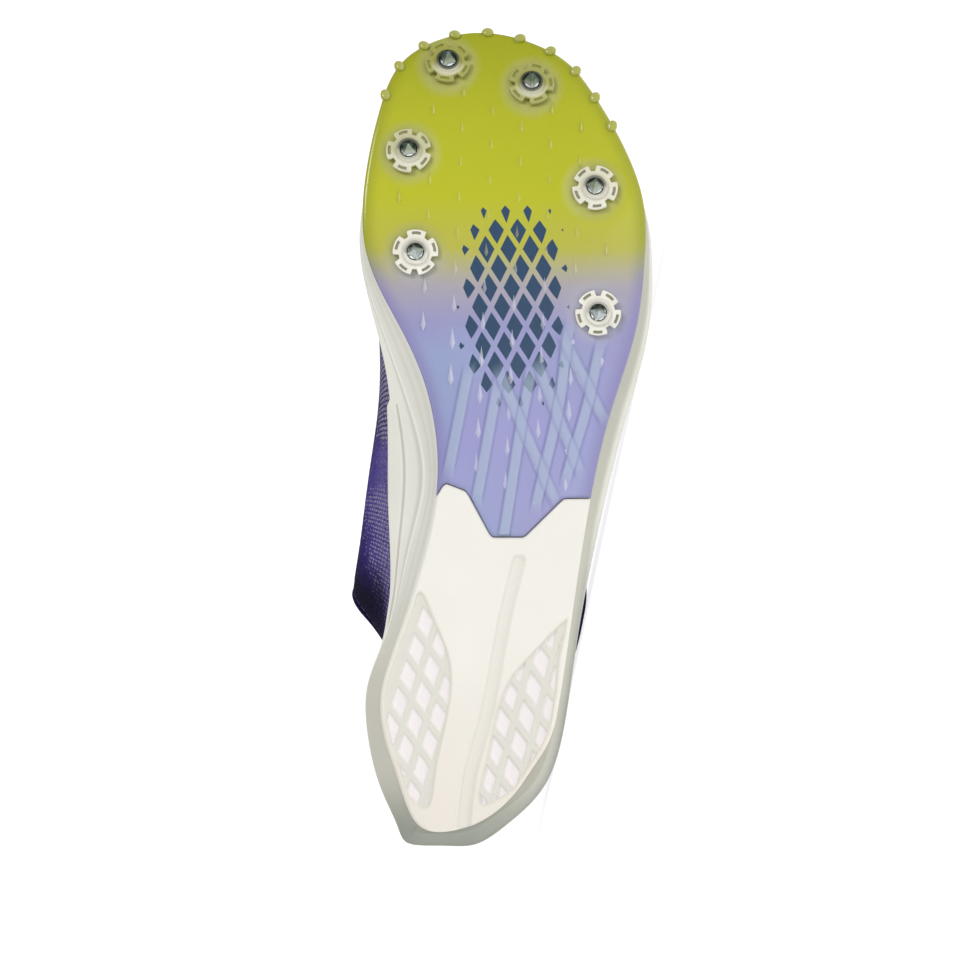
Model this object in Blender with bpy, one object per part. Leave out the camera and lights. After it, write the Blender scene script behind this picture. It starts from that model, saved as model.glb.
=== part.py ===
"""Track spike shoe for the left foot, empty and lying on its outer side. Metres, +Z up.

The pieces are modelled in the shoe's own frame: +X to the toe, +Y to the outer side, +Z up from
the sole, with the heel's back at X = 0. The last step lays the whole shoe down on its side.
"""

import math
from collections import namedtuple

import bmesh
import bpy
import numpy as np
from mathutils import Matrix, Vector, geometry

# Driving dimensions
LENGTH = 0.281
BALL_WIDTH = 0.100
INSTEP = 0.082
GAP = 0.0003

# Upper
WALL = 0.0016
BAND = 0.0007
BAND_WIDTH = 0.011
BAND_STEP = 0.0004
LIFT = 0.50
TOE_LIFT = 0.40
DROP = 0.20
TOE_START = 0.80
CURVE_STEPS = 48
BODY_RINGS = (0.0, 0.16, 0.36, 0.58, 0.80)
LINING_RINGS = (0.0, 0.25, 0.60)

# Steps along the wall and along the table that slopes are measured over
NUDGE = 0.0004
ROW_NUDGE = 0.04
X_NUDGE = 0.001

# Sole
HEEL_SIDE = 0.0245
FRONT_SIDE = 0.0125
CUP_DEPTH = 0.0055
RIM = 0.0022
RIM_DROP = 0.0005
LEDGE = 0.0034
PLATE = 0.0016
PLATE_LIP = 0.0015
PLATE_CHAMFER = 0.0005
PAD = 0.0040
PAD_CHAMFER = 0.0010
HEEL_BEVEL = 0.0030
ARCH_RISE = 0.0030
TOE_SPRING = 0.0240
EDGE_ROLL = 0.0008
INSOLE = 0.0030
INSOLE_GAP = 0.0007
ROWS_SPLIT = 3

# Where along the sole its shapes begin and end, as shares of LENGTH
SIDE_FALL_START = 0.25
SIDE_FALL_END = 0.70
PAD_FADE_START = 0.40
PAD_FADE_END = 0.62
LIP_START = 0.74
LIP_END = 0.84
ARCH_MIDDLE = 0.47
ARCH_SPREAD = 0.12
HEEL_BEVEL_END = 0.09
BALL_ALONG = 0.66
SPINE_HEEL = 0.10
SPINE_TOE = 0.87

# Shape of the midsole's side: shares of its height and of its flare
WIDEST = 0.25
SLOPE = 0.40
SPRING_POWER = 2.1
CREASE = 0.80
WING_CREASE = 0.28
WING_MIDDLE = 0.45
WING_SPREAD = 0.11
CREASE_POWER = 0.6
FLOOR_SHARE = 0.6

# Cuts of the pad and the plate
CUT_REACH = 0.05
GROOVE_WIDTH = 0.0043
GROOVE_DEPTH = 0.0010
PANEL_DEPTH = 0.0014
PANEL_ROUND = 0.0020
PAD_ROUND = 0.0025

# Plate details
STUDS = 10
STUD_PITCH = 0.0116
STUD_SHIFT = 0.0027
STUD_RADIUS = 0.0020
STUD_INSET = 0.0008
STUD_HEIGHT = 0.0010
STUD_TOP = 0.6
STUD_SUNK = 0.0001
RIM_SEARCH_ROWS = 4
RIB_WIDTH = 0.0042
RIB_HEIGHT = 0.0007

# Pins and their receptacles
ARMS = 5
FLANGE_RADIUS = 0.0078
NOTCH_RADIUS = 0.0058
FLANGE = 0.0012
FLANGE_TAPER = 0.0003
HUB_RADIUS = 0.0043
HUB_TAPER = 0.0002
HUB_HEIGHT = 0.0025
BORE_RADIUS = 0.0029
BORE_FLOOR = 0.0010
SEAT_GAP = 0.0005
PIN_HALF = 0.0022
PIN_TIP = 0.0004
PIN_LENGTH = 0.0060
SHANK_TOP = 0.0002
SHOULDER = 0.0006

# Throat
EYELETS = 6
EYELET_RADIUS = 0.0020
EYELET_IN = 0.0055
EYELET_FIRST = 0.385
EYELET_LAST = 0.600
TONGUE = 0.0022
TONGUE_GAP = 0.0017
TONGUE_TUCK = 0.008
TONGUE_ARCH = 0.14
TONGUE_RISE = 0.018
TONGUE_ACROSS = 7
EDGE_INSET = 0.0005
CROWN_FADE_ROWS = 2.5
CROWN_FADE_SPAN = 2.2
LACE_WIDTH = 0.0050
LACE = 0.0012
LACE_GAP = 0.0005
LACE_SAMPLES = 6
LACE_EDGE_INSET = 0.0008
LACE_EDGE_SHARE = 0.14

Place = namedtuple("Place", "along out base_in swell puff edge_along edge_out edge_up")

# One row for each place round the sole, from the heel's back along the outer side to the toe and
# back along the inner side. along and out place the sole's edge, base_in is how far its flat
# underside stays inside that edge, swell and puff bow the upper's wall outward low down and high
# up, and the last three place the upper's top edge. Shares of LENGTH for along, of INSTEP for up,
# and of BALL_WIDTH for the rest.
PLACES = (
    Place(0.000, -0.160, 0.051, 0.015, 0.000, 0.032, -0.130, 1.000),
    Place(0.002, -0.045, 0.062, 0.015, 0.000, 0.040, -0.040, 0.990),
    Place(0.029, 0.070, 0.055, 0.020, 0.000, 0.065, 0.045, 0.960),
    Place(0.079, 0.197, 0.043, 0.020, 0.010, 0.108, 0.130, 0.870),
    Place(0.162, 0.264, 0.035, 0.025, 0.025, 0.170, 0.210, 0.755),
    Place(0.270, 0.309, 0.033, 0.040, 0.045, 0.243, 0.280, 0.705),
    Place(0.388, 0.375, 0.048, 0.010, 0.065, 0.305, 0.295, 0.820),
    Place(0.511, 0.460, 0.060, 0.000, 0.160, 0.370, 0.190, 0.990),
    Place(0.619, 0.539, 0.047, 0.000, 0.200, 0.440, 0.160, 0.935),
    Place(0.709, 0.557, 0.030, 0.000, 0.220, 0.510, 0.150, 0.855),
    Place(0.791, 0.528, 0.006, 0.000, 0.240, 0.570, 0.140, 0.780),
    Place(0.871, 0.439, 0.002, 0.000, 0.300, 0.608, 0.115, 0.730),
    Place(0.932, 0.338, 0.002, 0.000, 0.400, 0.630, 0.085, 0.700),
    Place(0.975, 0.215, 0.002, 0.010, 0.480, 0.640, 0.050, 0.684),
    Place(1.000, -0.034, 0.002, 0.010, 0.550, 0.644, 0.005, 0.677),
    Place(0.971, -0.277, 0.002, 0.010, 0.480, 0.640, -0.040, 0.684),
    Place(0.906, -0.376, 0.002, 0.000, 0.380, 0.630, -0.075, 0.700),
    Place(0.820, -0.427, 0.003, 0.000, 0.280, 0.608, -0.105, 0.730),
    Place(0.730, -0.445, 0.020, 0.000, 0.220, 0.570, -0.130, 0.780),
    Place(0.647, -0.400, 0.066, 0.050, 0.240, 0.510, -0.145, 0.855),
    Place(0.547, -0.345, 0.135, 0.130, 0.300, 0.440, -0.170, 0.935),
    Place(0.424, -0.340, 0.155, 0.190, 0.290, 0.370, -0.230, 1.000),
    Place(0.302, -0.334, 0.062, 0.140, 0.110, 0.296, -0.432, 0.805),
    Place(0.223, -0.399, 0.050, 0.000, 0.015, 0.243, -0.335, 0.715),
    Place(0.165, -0.428, 0.056, 0.000, 0.020, 0.170, -0.355, 0.745),
    Place(0.086, -0.390, 0.062, 0.000, 0.010, 0.108, -0.315, 0.870),
    Place(0.029, -0.324, 0.064, 0.000, 0.000, 0.065, -0.265, 0.965),
    Place(0.003, -0.280, 0.055, 0.010, 0.000, 0.040, -0.210, 0.990),
)
PLACE_SIZES = np.array([LENGTH] + 4 * [BALL_WIDTH] + [LENGTH, BALL_WIDTH, INSTEP])
ROWS = len(PLACES)
TOE_ROW = ROWS // 2
THROAT_TOP_ROW = 7

# Front edge of the heel pad with its notch, from the outer side inward: shares of LENGTH and
# BALL_WIDTH. The first and last points lie past the sole's sides.
PAD_FRONT = (
    (0.425, 0.600),
    (0.425, 0.253),
    (0.378, 0.118),
    (0.378, 0.005),
    (0.434, -0.080),
    (0.444, -0.154),
    (0.426, -0.184),
    (0.426, -0.600),
)

# Groove down the middle of the pad.
GROOVE = ((0.349, 0.098), (0.276, 0.048), (0.167, -0.010), (0.090, -0.068), (0.010, -0.095))

# Outlines of the two sunk panels in the pad.
OUTER_PANEL = (
    (0.270, 0.245),
    (0.238, 0.137),
    (0.205, 0.060),
    (0.162, 0.021),
    (0.109, -0.010),
    (0.062, -0.034),
    (0.069, 0.062),
    (0.095, 0.148),
    (0.128, 0.190),
    (0.193, 0.208),
    (0.250, 0.233),
)
INNER_PANEL = (
    (0.305, -0.245),
    (0.286, -0.190),
    (0.240, -0.143),
    (0.198, -0.133),
    (0.151, -0.154),
    (0.094, -0.188),
    (0.055, -0.215),
    (0.069, -0.275),
    (0.106, -0.316),
    (0.138, -0.337),
    (0.176, -0.352),
    (0.215, -0.340),
    (0.262, -0.288),
)

# Ribs of the waist, from end to end.
RIBS = (
    ((0.474, -0.133), (0.565, -0.082)),
    ((0.437, -0.038), (0.551, 0.020)),
    ((0.384, 0.050), (0.513, 0.106), (0.565, 0.133)),
    ((0.430, 0.166), (0.539, 0.236), (0.616, 0.263)),
    ((0.462, 0.270), (0.539, 0.333), (0.595, 0.366)),
    ((0.437, 0.206), (0.565, 0.048)),
    ((0.475, 0.290), (0.575, 0.178)),
    ((0.536, 0.370), (0.606, 0.272)),
)

# Places of the pins: shares of LENGTH and BALL_WIDTH, and the turn of the flange in degrees.
PINS = (
    (0.956, -0.144, 20),
    (0.929, 0.144, 50),
    (0.846, -0.277, 10),
    (0.801, 0.359, 35),
    (0.723, -0.253, 62),
    (0.651, 0.369, 28),
)

# Rim of one arm of a receptacle: share of the way to the next arm, and radius.
ARM_OUTLINE = (
    (0.00, NOTCH_RADIUS),
    (0.20, NOTCH_RADIUS),
    (0.24, FLANGE_RADIUS),
    (0.60, FLANGE_RADIUS),
    (0.96, FLANGE_RADIUS),
)

# Free end of the tongue: share of its rise above the collar, and share of its full width.
TONGUE_TOP = ((0.45, 0.97), (0.80, 0.88), (1.00, 0.70))

# Colour, roughness, metallic and weight (kg per cubic metre) of what the pieces are made of.
Stuff = namedtuple("Stuff", "colour rough metal weight")
PLATE_STUFF = Stuff((0.48, 0.50, 0.05), 0.25, 0.0, 1100)
FOAM_STUFF = Stuff((0.74, 0.73, 0.66), 0.60, 0.0, 300)
PAD_STUFF = Stuff((0.84, 0.82, 0.74), 0.55, 0.0, 1200)
KNIT_STUFF = Stuff((0.08, 0.06, 0.24), 0.90, 0.0, 300)
TONGUE_STUFF = Stuff((0.03, 0.02, 0.08), 0.90, 0.0, 300)
LACE_STUFF = Stuff((0.55, 0.50, 0.75), 0.85, 0.0, 300)
INSOLE_STUFF = Stuff((0.05, 0.04, 0.12), 0.90, 0.0, 300)
SOCKET_STUFF = Stuff((0.82, 0.82, 0.76), 0.35, 0.0, 1100)
STEEL_STUFF = Stuff((0.45, 0.48, 0.46), 0.25, 1.0, 7850)


def clear_scene():
    for obj in list(bpy.data.objects):
        bpy.data.objects.remove(obj, do_unlink=True)


def new_collection(name, rendered=True):
    made = bpy.data.collections.new(name)
    made.hide_render = not rendered
    bpy.context.scene.collection.children.link(made)
    return made


def material(name, stuff):
    made = bpy.data.materials.new(name)
    made.use_nodes = True
    shader = made.node_tree.nodes["Principled BSDF"]
    shader.inputs["Base Color"].default_value = (*stuff.colour, 1.0)
    shader.inputs["Roughness"].default_value = stuff.rough
    shader.inputs["Metallic"].default_value = stuff.metal
    made.diffuse_color = (*stuff.colour, 1.0)
    return made


def lofted(name, rings, cyclic=False):
    """A mesh through rings of equal length. Rings that shrink to a line or a point close it."""
    count = len(rings[0])
    made = bmesh.new()
    points = [[made.verts.new(point) for point in ring] for ring in rings]
    pairs = list(zip(points, points[1:]))
    if cyclic:
        pairs.append((points[-1], points[0]))
    for low, high in pairs:
        for i in range(count):
            j = (i + 1) % count
            made.faces.new((low[i], low[j], high[j], high[i]))
    bmesh.ops.remove_doubles(made, verts=made.verts, dist=0.000002)
    bmesh.ops.dissolve_degenerate(made, edges=made.edges, dist=0.000002)
    bmesh.ops.recalc_face_normals(made, faces=made.faces)
    mesh = bpy.data.meshes.new(name)
    made.to_mesh(mesh)
    made.free()
    mesh.shade_smooth()
    mesh.set_sharp_from_angle(angle=math.radians(35))
    return mesh


def add_piece(name, mesh, stuff, home):
    obj = bpy.data.objects.new(name, mesh)
    obj.data.materials.append(material(name, stuff))
    obj["weight"] = float(stuff.weight)
    home.objects.link(obj)
    return obj


def add_helper(name, mesh, home):
    obj = bpy.data.objects.new(name, mesh)
    obj.hide_render = True
    obj.display_type = "WIRE"
    home.objects.link(obj)
    return obj


def cut(obj, operation, other):
    boolean = obj.modifiers.new(other.name, "BOOLEAN")
    boolean.operation = operation
    boolean.solver = "EXACT"
    if isinstance(other, bpy.types.Collection):
        boolean.operand_type = "COLLECTION"
        boolean.collection = other
    else:
        boolean.object = other


def closed_spline(points, at):
    """Values of the closed cubic spline through points, at places counted in points."""
    count = len(points)
    before = np.roll(points, 1, axis=0)
    after = np.roll(points, -1, axis=0)
    near = np.roll(np.eye(count), 1, axis=1) + np.roll(np.eye(count), -1, axis=1)
    slopes = np.linalg.solve(4 * np.eye(count) + near, 3 * (after - before))
    first = np.floor(at).astype(int) % count
    second = (first + 1) % count
    t = (at - np.floor(at))[:, None]
    return (
        (2 * t**3 - 3 * t**2 + 1) * points[first]
        + (t**3 - 2 * t**2 + t) * slopes[first]
        + (3 * t**2 - 2 * t**3) * points[second]
        + (t**3 - t**2) * slopes[second]
    )


def open_spline(points, samples):
    """Evenly spread samples of the smooth curve through points."""
    points = np.asarray(points, dtype=float)
    slopes = np.gradient(points, axis=0)
    at = np.linspace(0, len(points) - 1, samples)
    first = np.minimum(np.floor(at).astype(int), len(points) - 2)
    t = (at - first)[:, None]
    return (
        (2 * t**3 - 3 * t**2 + 1) * points[first]
        + (t**3 - 2 * t**2 + t) * slopes[first]
        + (3 * t**2 - 2 * t**3) * points[first + 1]
        + (t**3 - t**2) * slopes[first + 1]
    )


def unit(vectors):
    return vectors / np.linalg.norm(vectors, axis=-1, keepdims=True)


def ramp(x, start, end):
    """0 up to start, 1 from end on, with a smooth rise between; start and end are shares."""
    t = np.clip((x / LENGTH - start) / (end - start), 0, 1)
    return t * t * (3 - 2 * t)


def hump(x, middle, spread):
    return np.exp(-(((x / LENGTH - middle) / spread) ** 2))


def under_foam(x, share=0.0):
    """Height of the foam's underside, at a share of the way from the middle to the edge."""
    skin = GAP + PLATE + (PAD - PLATE) * (1 - ramp(x, PAD_FADE_START, PAD_FADE_END))
    arch = ARCH_RISE * hump(x, ARCH_MIDDLE, ARCH_SPREAD)
    past_ball = np.maximum(x / LENGTH - BALL_ALONG, 0) / (1 - BALL_ALONG)
    spring = TOE_SPRING * past_ball**SPRING_POWER
    heel = HEEL_BEVEL * np.maximum(1 - x / LENGTH / HEEL_BEVEL_END, 0) ** 2
    return skin + arch + spring + heel + EDGE_ROLL * share**4


def rim_height(x):
    fall = ramp(x, SIDE_FALL_START, SIDE_FALL_END)
    return under_foam(x) + HEEL_SIDE + (FRONT_SIDE - HEEL_SIDE) * fall


def with_height(flat, heights):
    return np.column_stack([flat[:, :2], heights])


def edge_of_sole(at):
    """Sole's edge, the direction out from it, and the rest of the table, at each place."""
    table = np.array(PLACES) * PLACE_SIZES
    values = closed_spline(table, at)
    flat = table[:, :2]
    way = unit(closed_spline(flat, at + ROW_NUDGE) - closed_spline(flat, at - ROW_NUDGE))
    out = np.column_stack([-way[:, 1], way[:, 0], np.zeros(len(at))])
    edge = np.column_stack([values[:, :2], np.zeros(len(at))])
    return edge, out, Place(*values.T)


def foam_lip(x):
    """How far the foam stays inside the plate's edge round the toe."""
    return (PLATE_LIP * ramp(x, LIP_START, LIP_END))[:, None]


def base_ring(at):
    edge, out, place = edge_of_sole(at)
    return edge - out * place.base_in[:, None]


def profiles(at):
    """The upper's outer line at each place, from the rim up to its edge, and its running length."""
    edge, out, place = edge_of_sole(at)
    start = edge - out * (foam_lip(edge[:, 0]) + LEDGE)
    start = with_height(start, rim_height(start[:, 0]))
    end = np.column_stack([place.edge_along, place.edge_out, place.edge_up])
    rise = np.zeros_like(end)
    rise[:, 2] = end[:, 2] - start[:, 2]
    lift = LIFT + TOE_LIFT * ramp(edge[:, 0], TOE_START, 1.0)
    low = start + out * place.swell[:, None] + rise * lift[:, None]
    high = end + out * place.puff[:, None] - rise * DROP
    t = np.linspace(0, 1, CURVE_STEPS)[None, :, None]
    line = (1 - t) ** 3 * start[:, None] + 3 * (1 - t) ** 2 * t * low[:, None]
    line += 3 * (1 - t) * t**2 * high[:, None] + t**3 * end[:, None]
    steps = np.linalg.norm(np.diff(line, axis=1), axis=2)
    run = np.concatenate([np.zeros((len(at), 1)), np.cumsum(steps, axis=1)], axis=1)
    return line, run


def on_profiles(line, run, distance):
    """One point of each line at its distance from the rim; below the rim it runs on straight."""
    ring = [
        [np.interp(d, lengths, points[:, k]) for k in range(3)]
        for points, lengths, d in zip(line, run, distance)
    ]
    first = unit(line[:, 1] - line[:, 0])
    return np.array(ring) + np.minimum(distance, 0)[:, None] * first


def wall_ring(at, distance):
    """Points on the upper's outer face and the directions out of it."""
    line, run = profiles(at)
    points = on_profiles(line, run, distance)
    up = on_profiles(line, run, distance + NUDGE) - on_profiles(line, run, distance - NUDGE)
    ahead = on_profiles(*profiles(at + ROW_NUDGE), distance)
    behind = on_profiles(*profiles(at - ROW_NUDGE), distance)
    return points, unit(np.cross(up, ahead - behind))


def wall_length(at):
    return profiles(at)[1][:, -1]


def cup_distance(at, height):
    """Distance below the rim, along the wall, of a height over the cup's floor."""
    line, _ = profiles(at)
    first = unit(line[:, 1] - line[:, 0])
    return -(CUP_DEPTH - height) / first[:, 2]


def mesh_places():
    return np.linspace(0, ROWS, ROWS * ROWS_SPLIT, endpoint=False)


def spine_of(ring):
    """The line down the middle of a ring, with one point for each of its points."""
    partner = np.roll(ring[::-1], 1, axis=0)
    middle = (ring + partner) / 2
    half = len(ring) // 2
    low, high = SPINE_HEEL * LENGTH, SPINE_TOE * LENGTH
    x = np.clip(middle[:, 0], low, high)
    line = middle[: half + 1]
    y = np.interp(x, line[:, 0], line[:, 1])
    return np.column_stack([x, y, np.zeros(len(ring))])


def between(spine, ring, share):
    return spine + (ring - spine) * share


def sheet_rings(ring, shares, height):
    """Rings from the middle line out to a ring, at heights given by position and share."""
    spine = spine_of(ring)
    rings = []
    for share in shares:
        flat = between(spine, ring, share)
        rings.append(with_height(flat, height(flat[:, 0], share)))
    return rings


def slab(name, ring, top, bottom, chamfer):
    """A skin of even thickness under the foam, with a small chamfer round its lower edge."""
    spine = spine_of(ring)
    inner = ring + unit(spine - ring) * chamfer
    shares = (0.0, 0.5, 1.0)
    upper = sheet_rings(ring, shares, lambda x, s: under_foam(x, s) + top)
    side = with_height(ring, under_foam(ring[:, 0], 1.0) + bottom + chamfer)
    lower = sheet_rings(inner, shares[::-1], lambda x, s: under_foam(x, s) + bottom)
    return lofted(name, upper + [side] + lower)


def midsole(home):
    at = mesh_places()
    edge, out, place = edge_of_sole(at)
    lip = foam_lip(edge[:, 0])
    base = base_ring(at) - out * lip
    widest = edge - out * lip
    x = edge[:, 0]
    wing = hump(x, WING_MIDDLE, WING_SPREAD) * (edge[:, 1] < 0)
    crease = CREASE + (WING_CREASE - CREASE) * wing
    widest_rise = WIDEST * (rim_height(x) - under_foam(x)) + SLOPE * place.base_in
    foot = under_foam(base[:, 0], 1.0)
    ridge = between(base, widest, crease[:, None])
    ridge = with_height(ridge, foot + widest_rise * crease**CREASE_POWER)
    widest = with_height(widest, foot + widest_rise)
    rim_in, rim_way = wall_ring(at, np.zeros(len(at)))
    floor_in, floor_way = wall_ring(at, cup_distance(at, 0))
    rim_out = rim_in + out * RIM
    rim_out[:, 2] -= RIM_DROP
    rim_in = rim_in + rim_way * GAP
    corner = floor_in + floor_way * GAP
    rings = sheet_rings(base, (0.0, 0.5, 1.0), under_foam)
    rings += [ridge, widest, rim_out, rim_in, corner]
    middle = sheet_rings(corner, (FLOOR_SHARE, 0.0), lambda x, s: rim_height(x) - CUP_DEPTH)
    return add_piece("midsole", lofted("midsole", rings + middle), FOAM_STUFF, home)


def insole(home):
    at = mesh_places()
    low, low_way = wall_ring(at, cup_distance(at, INSOLE_GAP))
    low = low - low_way * (WALL + GAP)
    top = low + np.array([0, 0, INSOLE])
    floor = INSOLE_GAP - CUP_DEPTH
    under = sheet_rings(low, (0.0, FLOOR_SHARE), lambda x, s: rim_height(x) + floor)
    over = sheet_rings(top, (0.0,), lambda x, s: rim_height(x) + floor + INSOLE)
    mesh = lofted("insole", under + [low, top] + over)
    return add_piece("insole", mesh, INSOLE_STUFF, home)


def upper(home):
    at = mesh_places()
    full = wall_length(at)
    body = full - BAND_WIDTH
    bottom, bottom_way = wall_ring(at, cup_distance(at, GAP))
    outer = [bottom]
    for share in BODY_RINGS:
        outer.append(wall_ring(at, body * share)[0])
    outer.append(wall_ring(at, body)[0])
    for distance in (body + BAND_STEP, full):
        points, way = wall_ring(at, distance)
        outer.append(points + way * BAND)
    lining = []
    for distance in [full, body] + [body * share for share in LINING_RINGS[::-1]]:
        points, way = wall_ring(at, distance)
        lining.append(points - way * WALL)
    lining.append(bottom - bottom_way * WALL)
    shell = add_piece("upper", lofted("upper", outer + lining, cyclic=True), KNIT_STUFF, home)
    punches = new_collection("eyelet_punches", rendered=False)
    for number, (point, way, _) in enumerate(eyelet_places()):
        disc = bmesh.new()
        bmesh.ops.create_cone(
            disc,
            cap_ends=True,
            segments=10,
            radius1=EYELET_RADIUS,
            radius2=EYELET_RADIUS,
            depth=6 * WALL,
        )
        mesh = bpy.data.meshes.new("eyelet_punch")
        disc.to_mesh(mesh)
        disc.free()
        punch = add_helper(f"eyelet_punch_{number}", mesh, punches)
        punch.rotation_euler = Vector(way).to_track_quat("Z", "Y").to_euler()
        punch.location = point
    cut(shell, "DIFFERENCE", punches)
    return shell


def rows_at_edge(along, side):
    """Places in the table where the throat's edge has these distances along the shoe."""
    if side > 0:
        rows = np.linspace(THROAT_TOP_ROW - 0.6, TOE_ROW - 1.0, 80)
    else:
        rows = np.linspace(ROWS - THROAT_TOP_ROW + 0.6, TOE_ROW + 1.0, 80)
    x = edge_of_sole(rows)[2].edge_along
    return np.interp(along, x, rows)


def eyelet_places():
    """Each eyelet's point on the outer face, the direction out of it, and its row."""
    along = np.linspace(EYELET_FIRST, EYELET_LAST, EYELETS) * LENGTH
    found = []
    for side in (1, -1):
        rows = rows_at_edge(along, side)
        points, ways = wall_ring(rows, wall_length(rows) - EYELET_IN)
        found += list(zip(points, ways, rows))
    return found


def throat_section(row):
    """Five points across the shoe over the throat, on the last's own surface, and their ways out."""
    rows = np.array([row, row, ROWS - row, ROWS - row], dtype=float)
    inset = np.array([TONGUE_TUCK, EDGE_INSET, EDGE_INSET, TONGUE_TUCK])
    points, ways = wall_ring(rows, wall_length(rows) - inset)
    middle = (points[1] + points[2]) / 2
    width = np.linalg.norm(points[1] - points[2])
    way = unit(ways[1] + ways[2])
    crown = middle + way * width * TONGUE_ARCH
    front = (points[0] + points[3]) / 2
    share = min(max((row - TOE_ROW + CROWN_FADE_ROWS) / CROWN_FADE_SPAN, 0), 1)
    crown = crown + (front - crown) * share * share * (3 - 2 * share)
    points = np.array([points[0], points[1], crown, points[2], points[3]])
    return points, np.array([ways[0], ways[1], way, ways[2], ways[3]])


def tongue(home):
    rows = np.arange(THROAT_TOP_ROW * ROWS_SPLIT, TOE_ROW * ROWS_SPLIT - 1) / ROWS_SPLIT
    faces = []
    for row in rows:
        points, ways = throat_section(row)
        across = open_spline(points, TONGUE_ACROSS)
        faces.append((across, unit(open_spline(ways, TONGUE_ACROSS))))
    first, first_ways = faces[0]
    heading = unit(first.mean(axis=0) - faces[2][0].mean(axis=0))
    centre = first.mean(axis=0)
    for share, narrow in TONGUE_TOP:
        moved = first + heading * TONGUE_RISE * share
        shrink = (moved - centre) * np.array([0, narrow - 1, 0])
        faces.insert(0, (moved + shrink, first_ways))
    skin = WALL + TONGUE_GAP
    top = [points - ways * skin for points, ways in faces]
    low = [points - ways * (skin + TONGUE) for points, ways in faces]
    rings = [np.vstack([outer, inner[::-1]]) for outer, inner in zip(top, low)]
    start = (rings[0] + rings[0][::-1]) / 2
    end = (rings[-1] + rings[-1][::-1]) / 2
    mesh = lofted("tongue", [start] + rings + [end])
    return add_piece("tongue", mesh, TONGUE_STUFF, home)


def strap(name, points, ways):
    """A flat length of lace of box section along a smooth curve."""
    path = open_spline(points, LACE_SAMPLES)
    up = unit(open_spline(ways, LACE_SAMPLES))
    heading = unit(np.gradient(path, axis=0))
    side = unit(np.cross(heading, up)) * LACE_WIDTH / 2
    up = unit(np.cross(side, heading)) * LACE / 2
    rings = [
        np.array([p + s + u, p - s + u, p - s - u, p + s - u]) for p, s, u in zip(path, side, up)
    ]
    caps = [np.tile(ring.mean(axis=0), (4, 1)) for ring in (rings[0], rings[-1])]
    return lofted(name, [caps[0]] + rings + [caps[1]])


def lace_path(along_start, along_end, side):
    """Points over the throat from an eyelet on one side to an eyelet on the other."""
    lift = BAND + LACE_GAP + LACE / 2
    step = (along_end - along_start) * LACE_EDGE_SHARE
    ends = ((along_start, side), (along_end, -side))
    edges = ((along_start + step, side), (along_end - step, -side))
    insets = 2 * (EYELET_IN,) + 2 * (LACE_EDGE_INSET,)
    points, ways = [], []
    for (along, way_side), inset in zip(ends + edges, insets):
        row = rows_at_edge(np.array([along]), way_side)
        point, way = wall_ring(row, wall_length(row) - inset)
        points.append(point[0] + way[0] * lift)
        ways.append(way[0])
    row = rows_at_edge(np.array([(along_start + along_end) / 2]), 1)[0]
    section, section_ways = throat_section(row)
    crown = section[2] + section_ways[2] * lift
    points = np.array([points[0], points[2], crown, points[3], points[1]])
    ways = np.array([ways[0], ways[2], section_ways[2], ways[3], ways[1]])
    return points, ways


def laces(home):
    along = np.linspace(EYELET_FIRST, EYELET_LAST, EYELETS) * LENGTH
    runs = [(along[-1], along[-1], 1)]
    for k in range(EYELETS - 1):
        runs += [(along[k], along[k + 1], 1), (along[k], along[k + 1], -1)]
    bars = new_collection("lace_bars", rendered=False)
    meshes = []
    for number, run in enumerate(runs):
        meshes.append(strap(f"lace_bar_{number}", *lace_path(*run)))
    for number, mesh in enumerate(meshes[1:]):
        add_helper(f"lace_bar_{number}", mesh, bars)
    piece = add_piece("laces", meshes[0], LACE_STUFF, home)
    cut(piece, "UNION", bars)
    return piece


def rounded(flat, radius):
    """An outline whose corners are cut by short curves that start a radius from each."""
    made = []
    for before, corner, after in zip(np.roll(flat, 1, axis=0), flat, np.roll(flat, -1, axis=0)):
        start = corner + unit(before - corner) * min(radius, np.linalg.norm(before - corner) / 2.1)
        end = corner + unit(after - corner) * min(radius, np.linalg.norm(after - corner) / 2.1)
        made += [start, (start + 2 * corner + end) / 4, end]
    return np.array(made)


def placed(outline):
    """Outline points in metres, from shares of the sole's length and ball width."""
    return np.array([(along * LENGTH, out * BALL_WIDTH) for along, out in outline])


def solid_outline(name, flat, low, high):
    made = bmesh.new()
    bottom = made.faces.new([made.verts.new((x, y, low)) for x, y in flat])
    top = bmesh.ops.extrude_face_region(made, geom=[bottom])["geom"]
    verts = [item for item in top if isinstance(item, bmesh.types.BMVert)]
    bmesh.ops.translate(made, verts=verts, vec=(0, 0, high - low))
    bmesh.ops.recalc_face_normals(made, faces=made.faces)
    mesh = bpy.data.meshes.new(name)
    made.to_mesh(mesh)
    made.free()
    return mesh


def pad_region(clear):
    """Flat outline of all that lies behind the pad's front edge, grown forward by a clearance."""
    front = placed(PAD_FRONT)
    ways = unit(np.diff(front, axis=0))
    normals = np.column_stack([-ways[:, 1], ways[:, 0]])
    moved = front.copy()
    for i in range(1, len(front) - 1):
        both = unit(normals[i - 1] + normals[i])
        moved[i] += both * clear / (both @ normals[i])
    moved[0, 0] += clear
    moved[-1, 0] += clear
    back = -0.1 * LENGTH
    return rounded(np.vstack([moved, [(back, moved[-1, 1]), (back, moved[0, 1])]]), PAD_ROUND)


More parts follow.
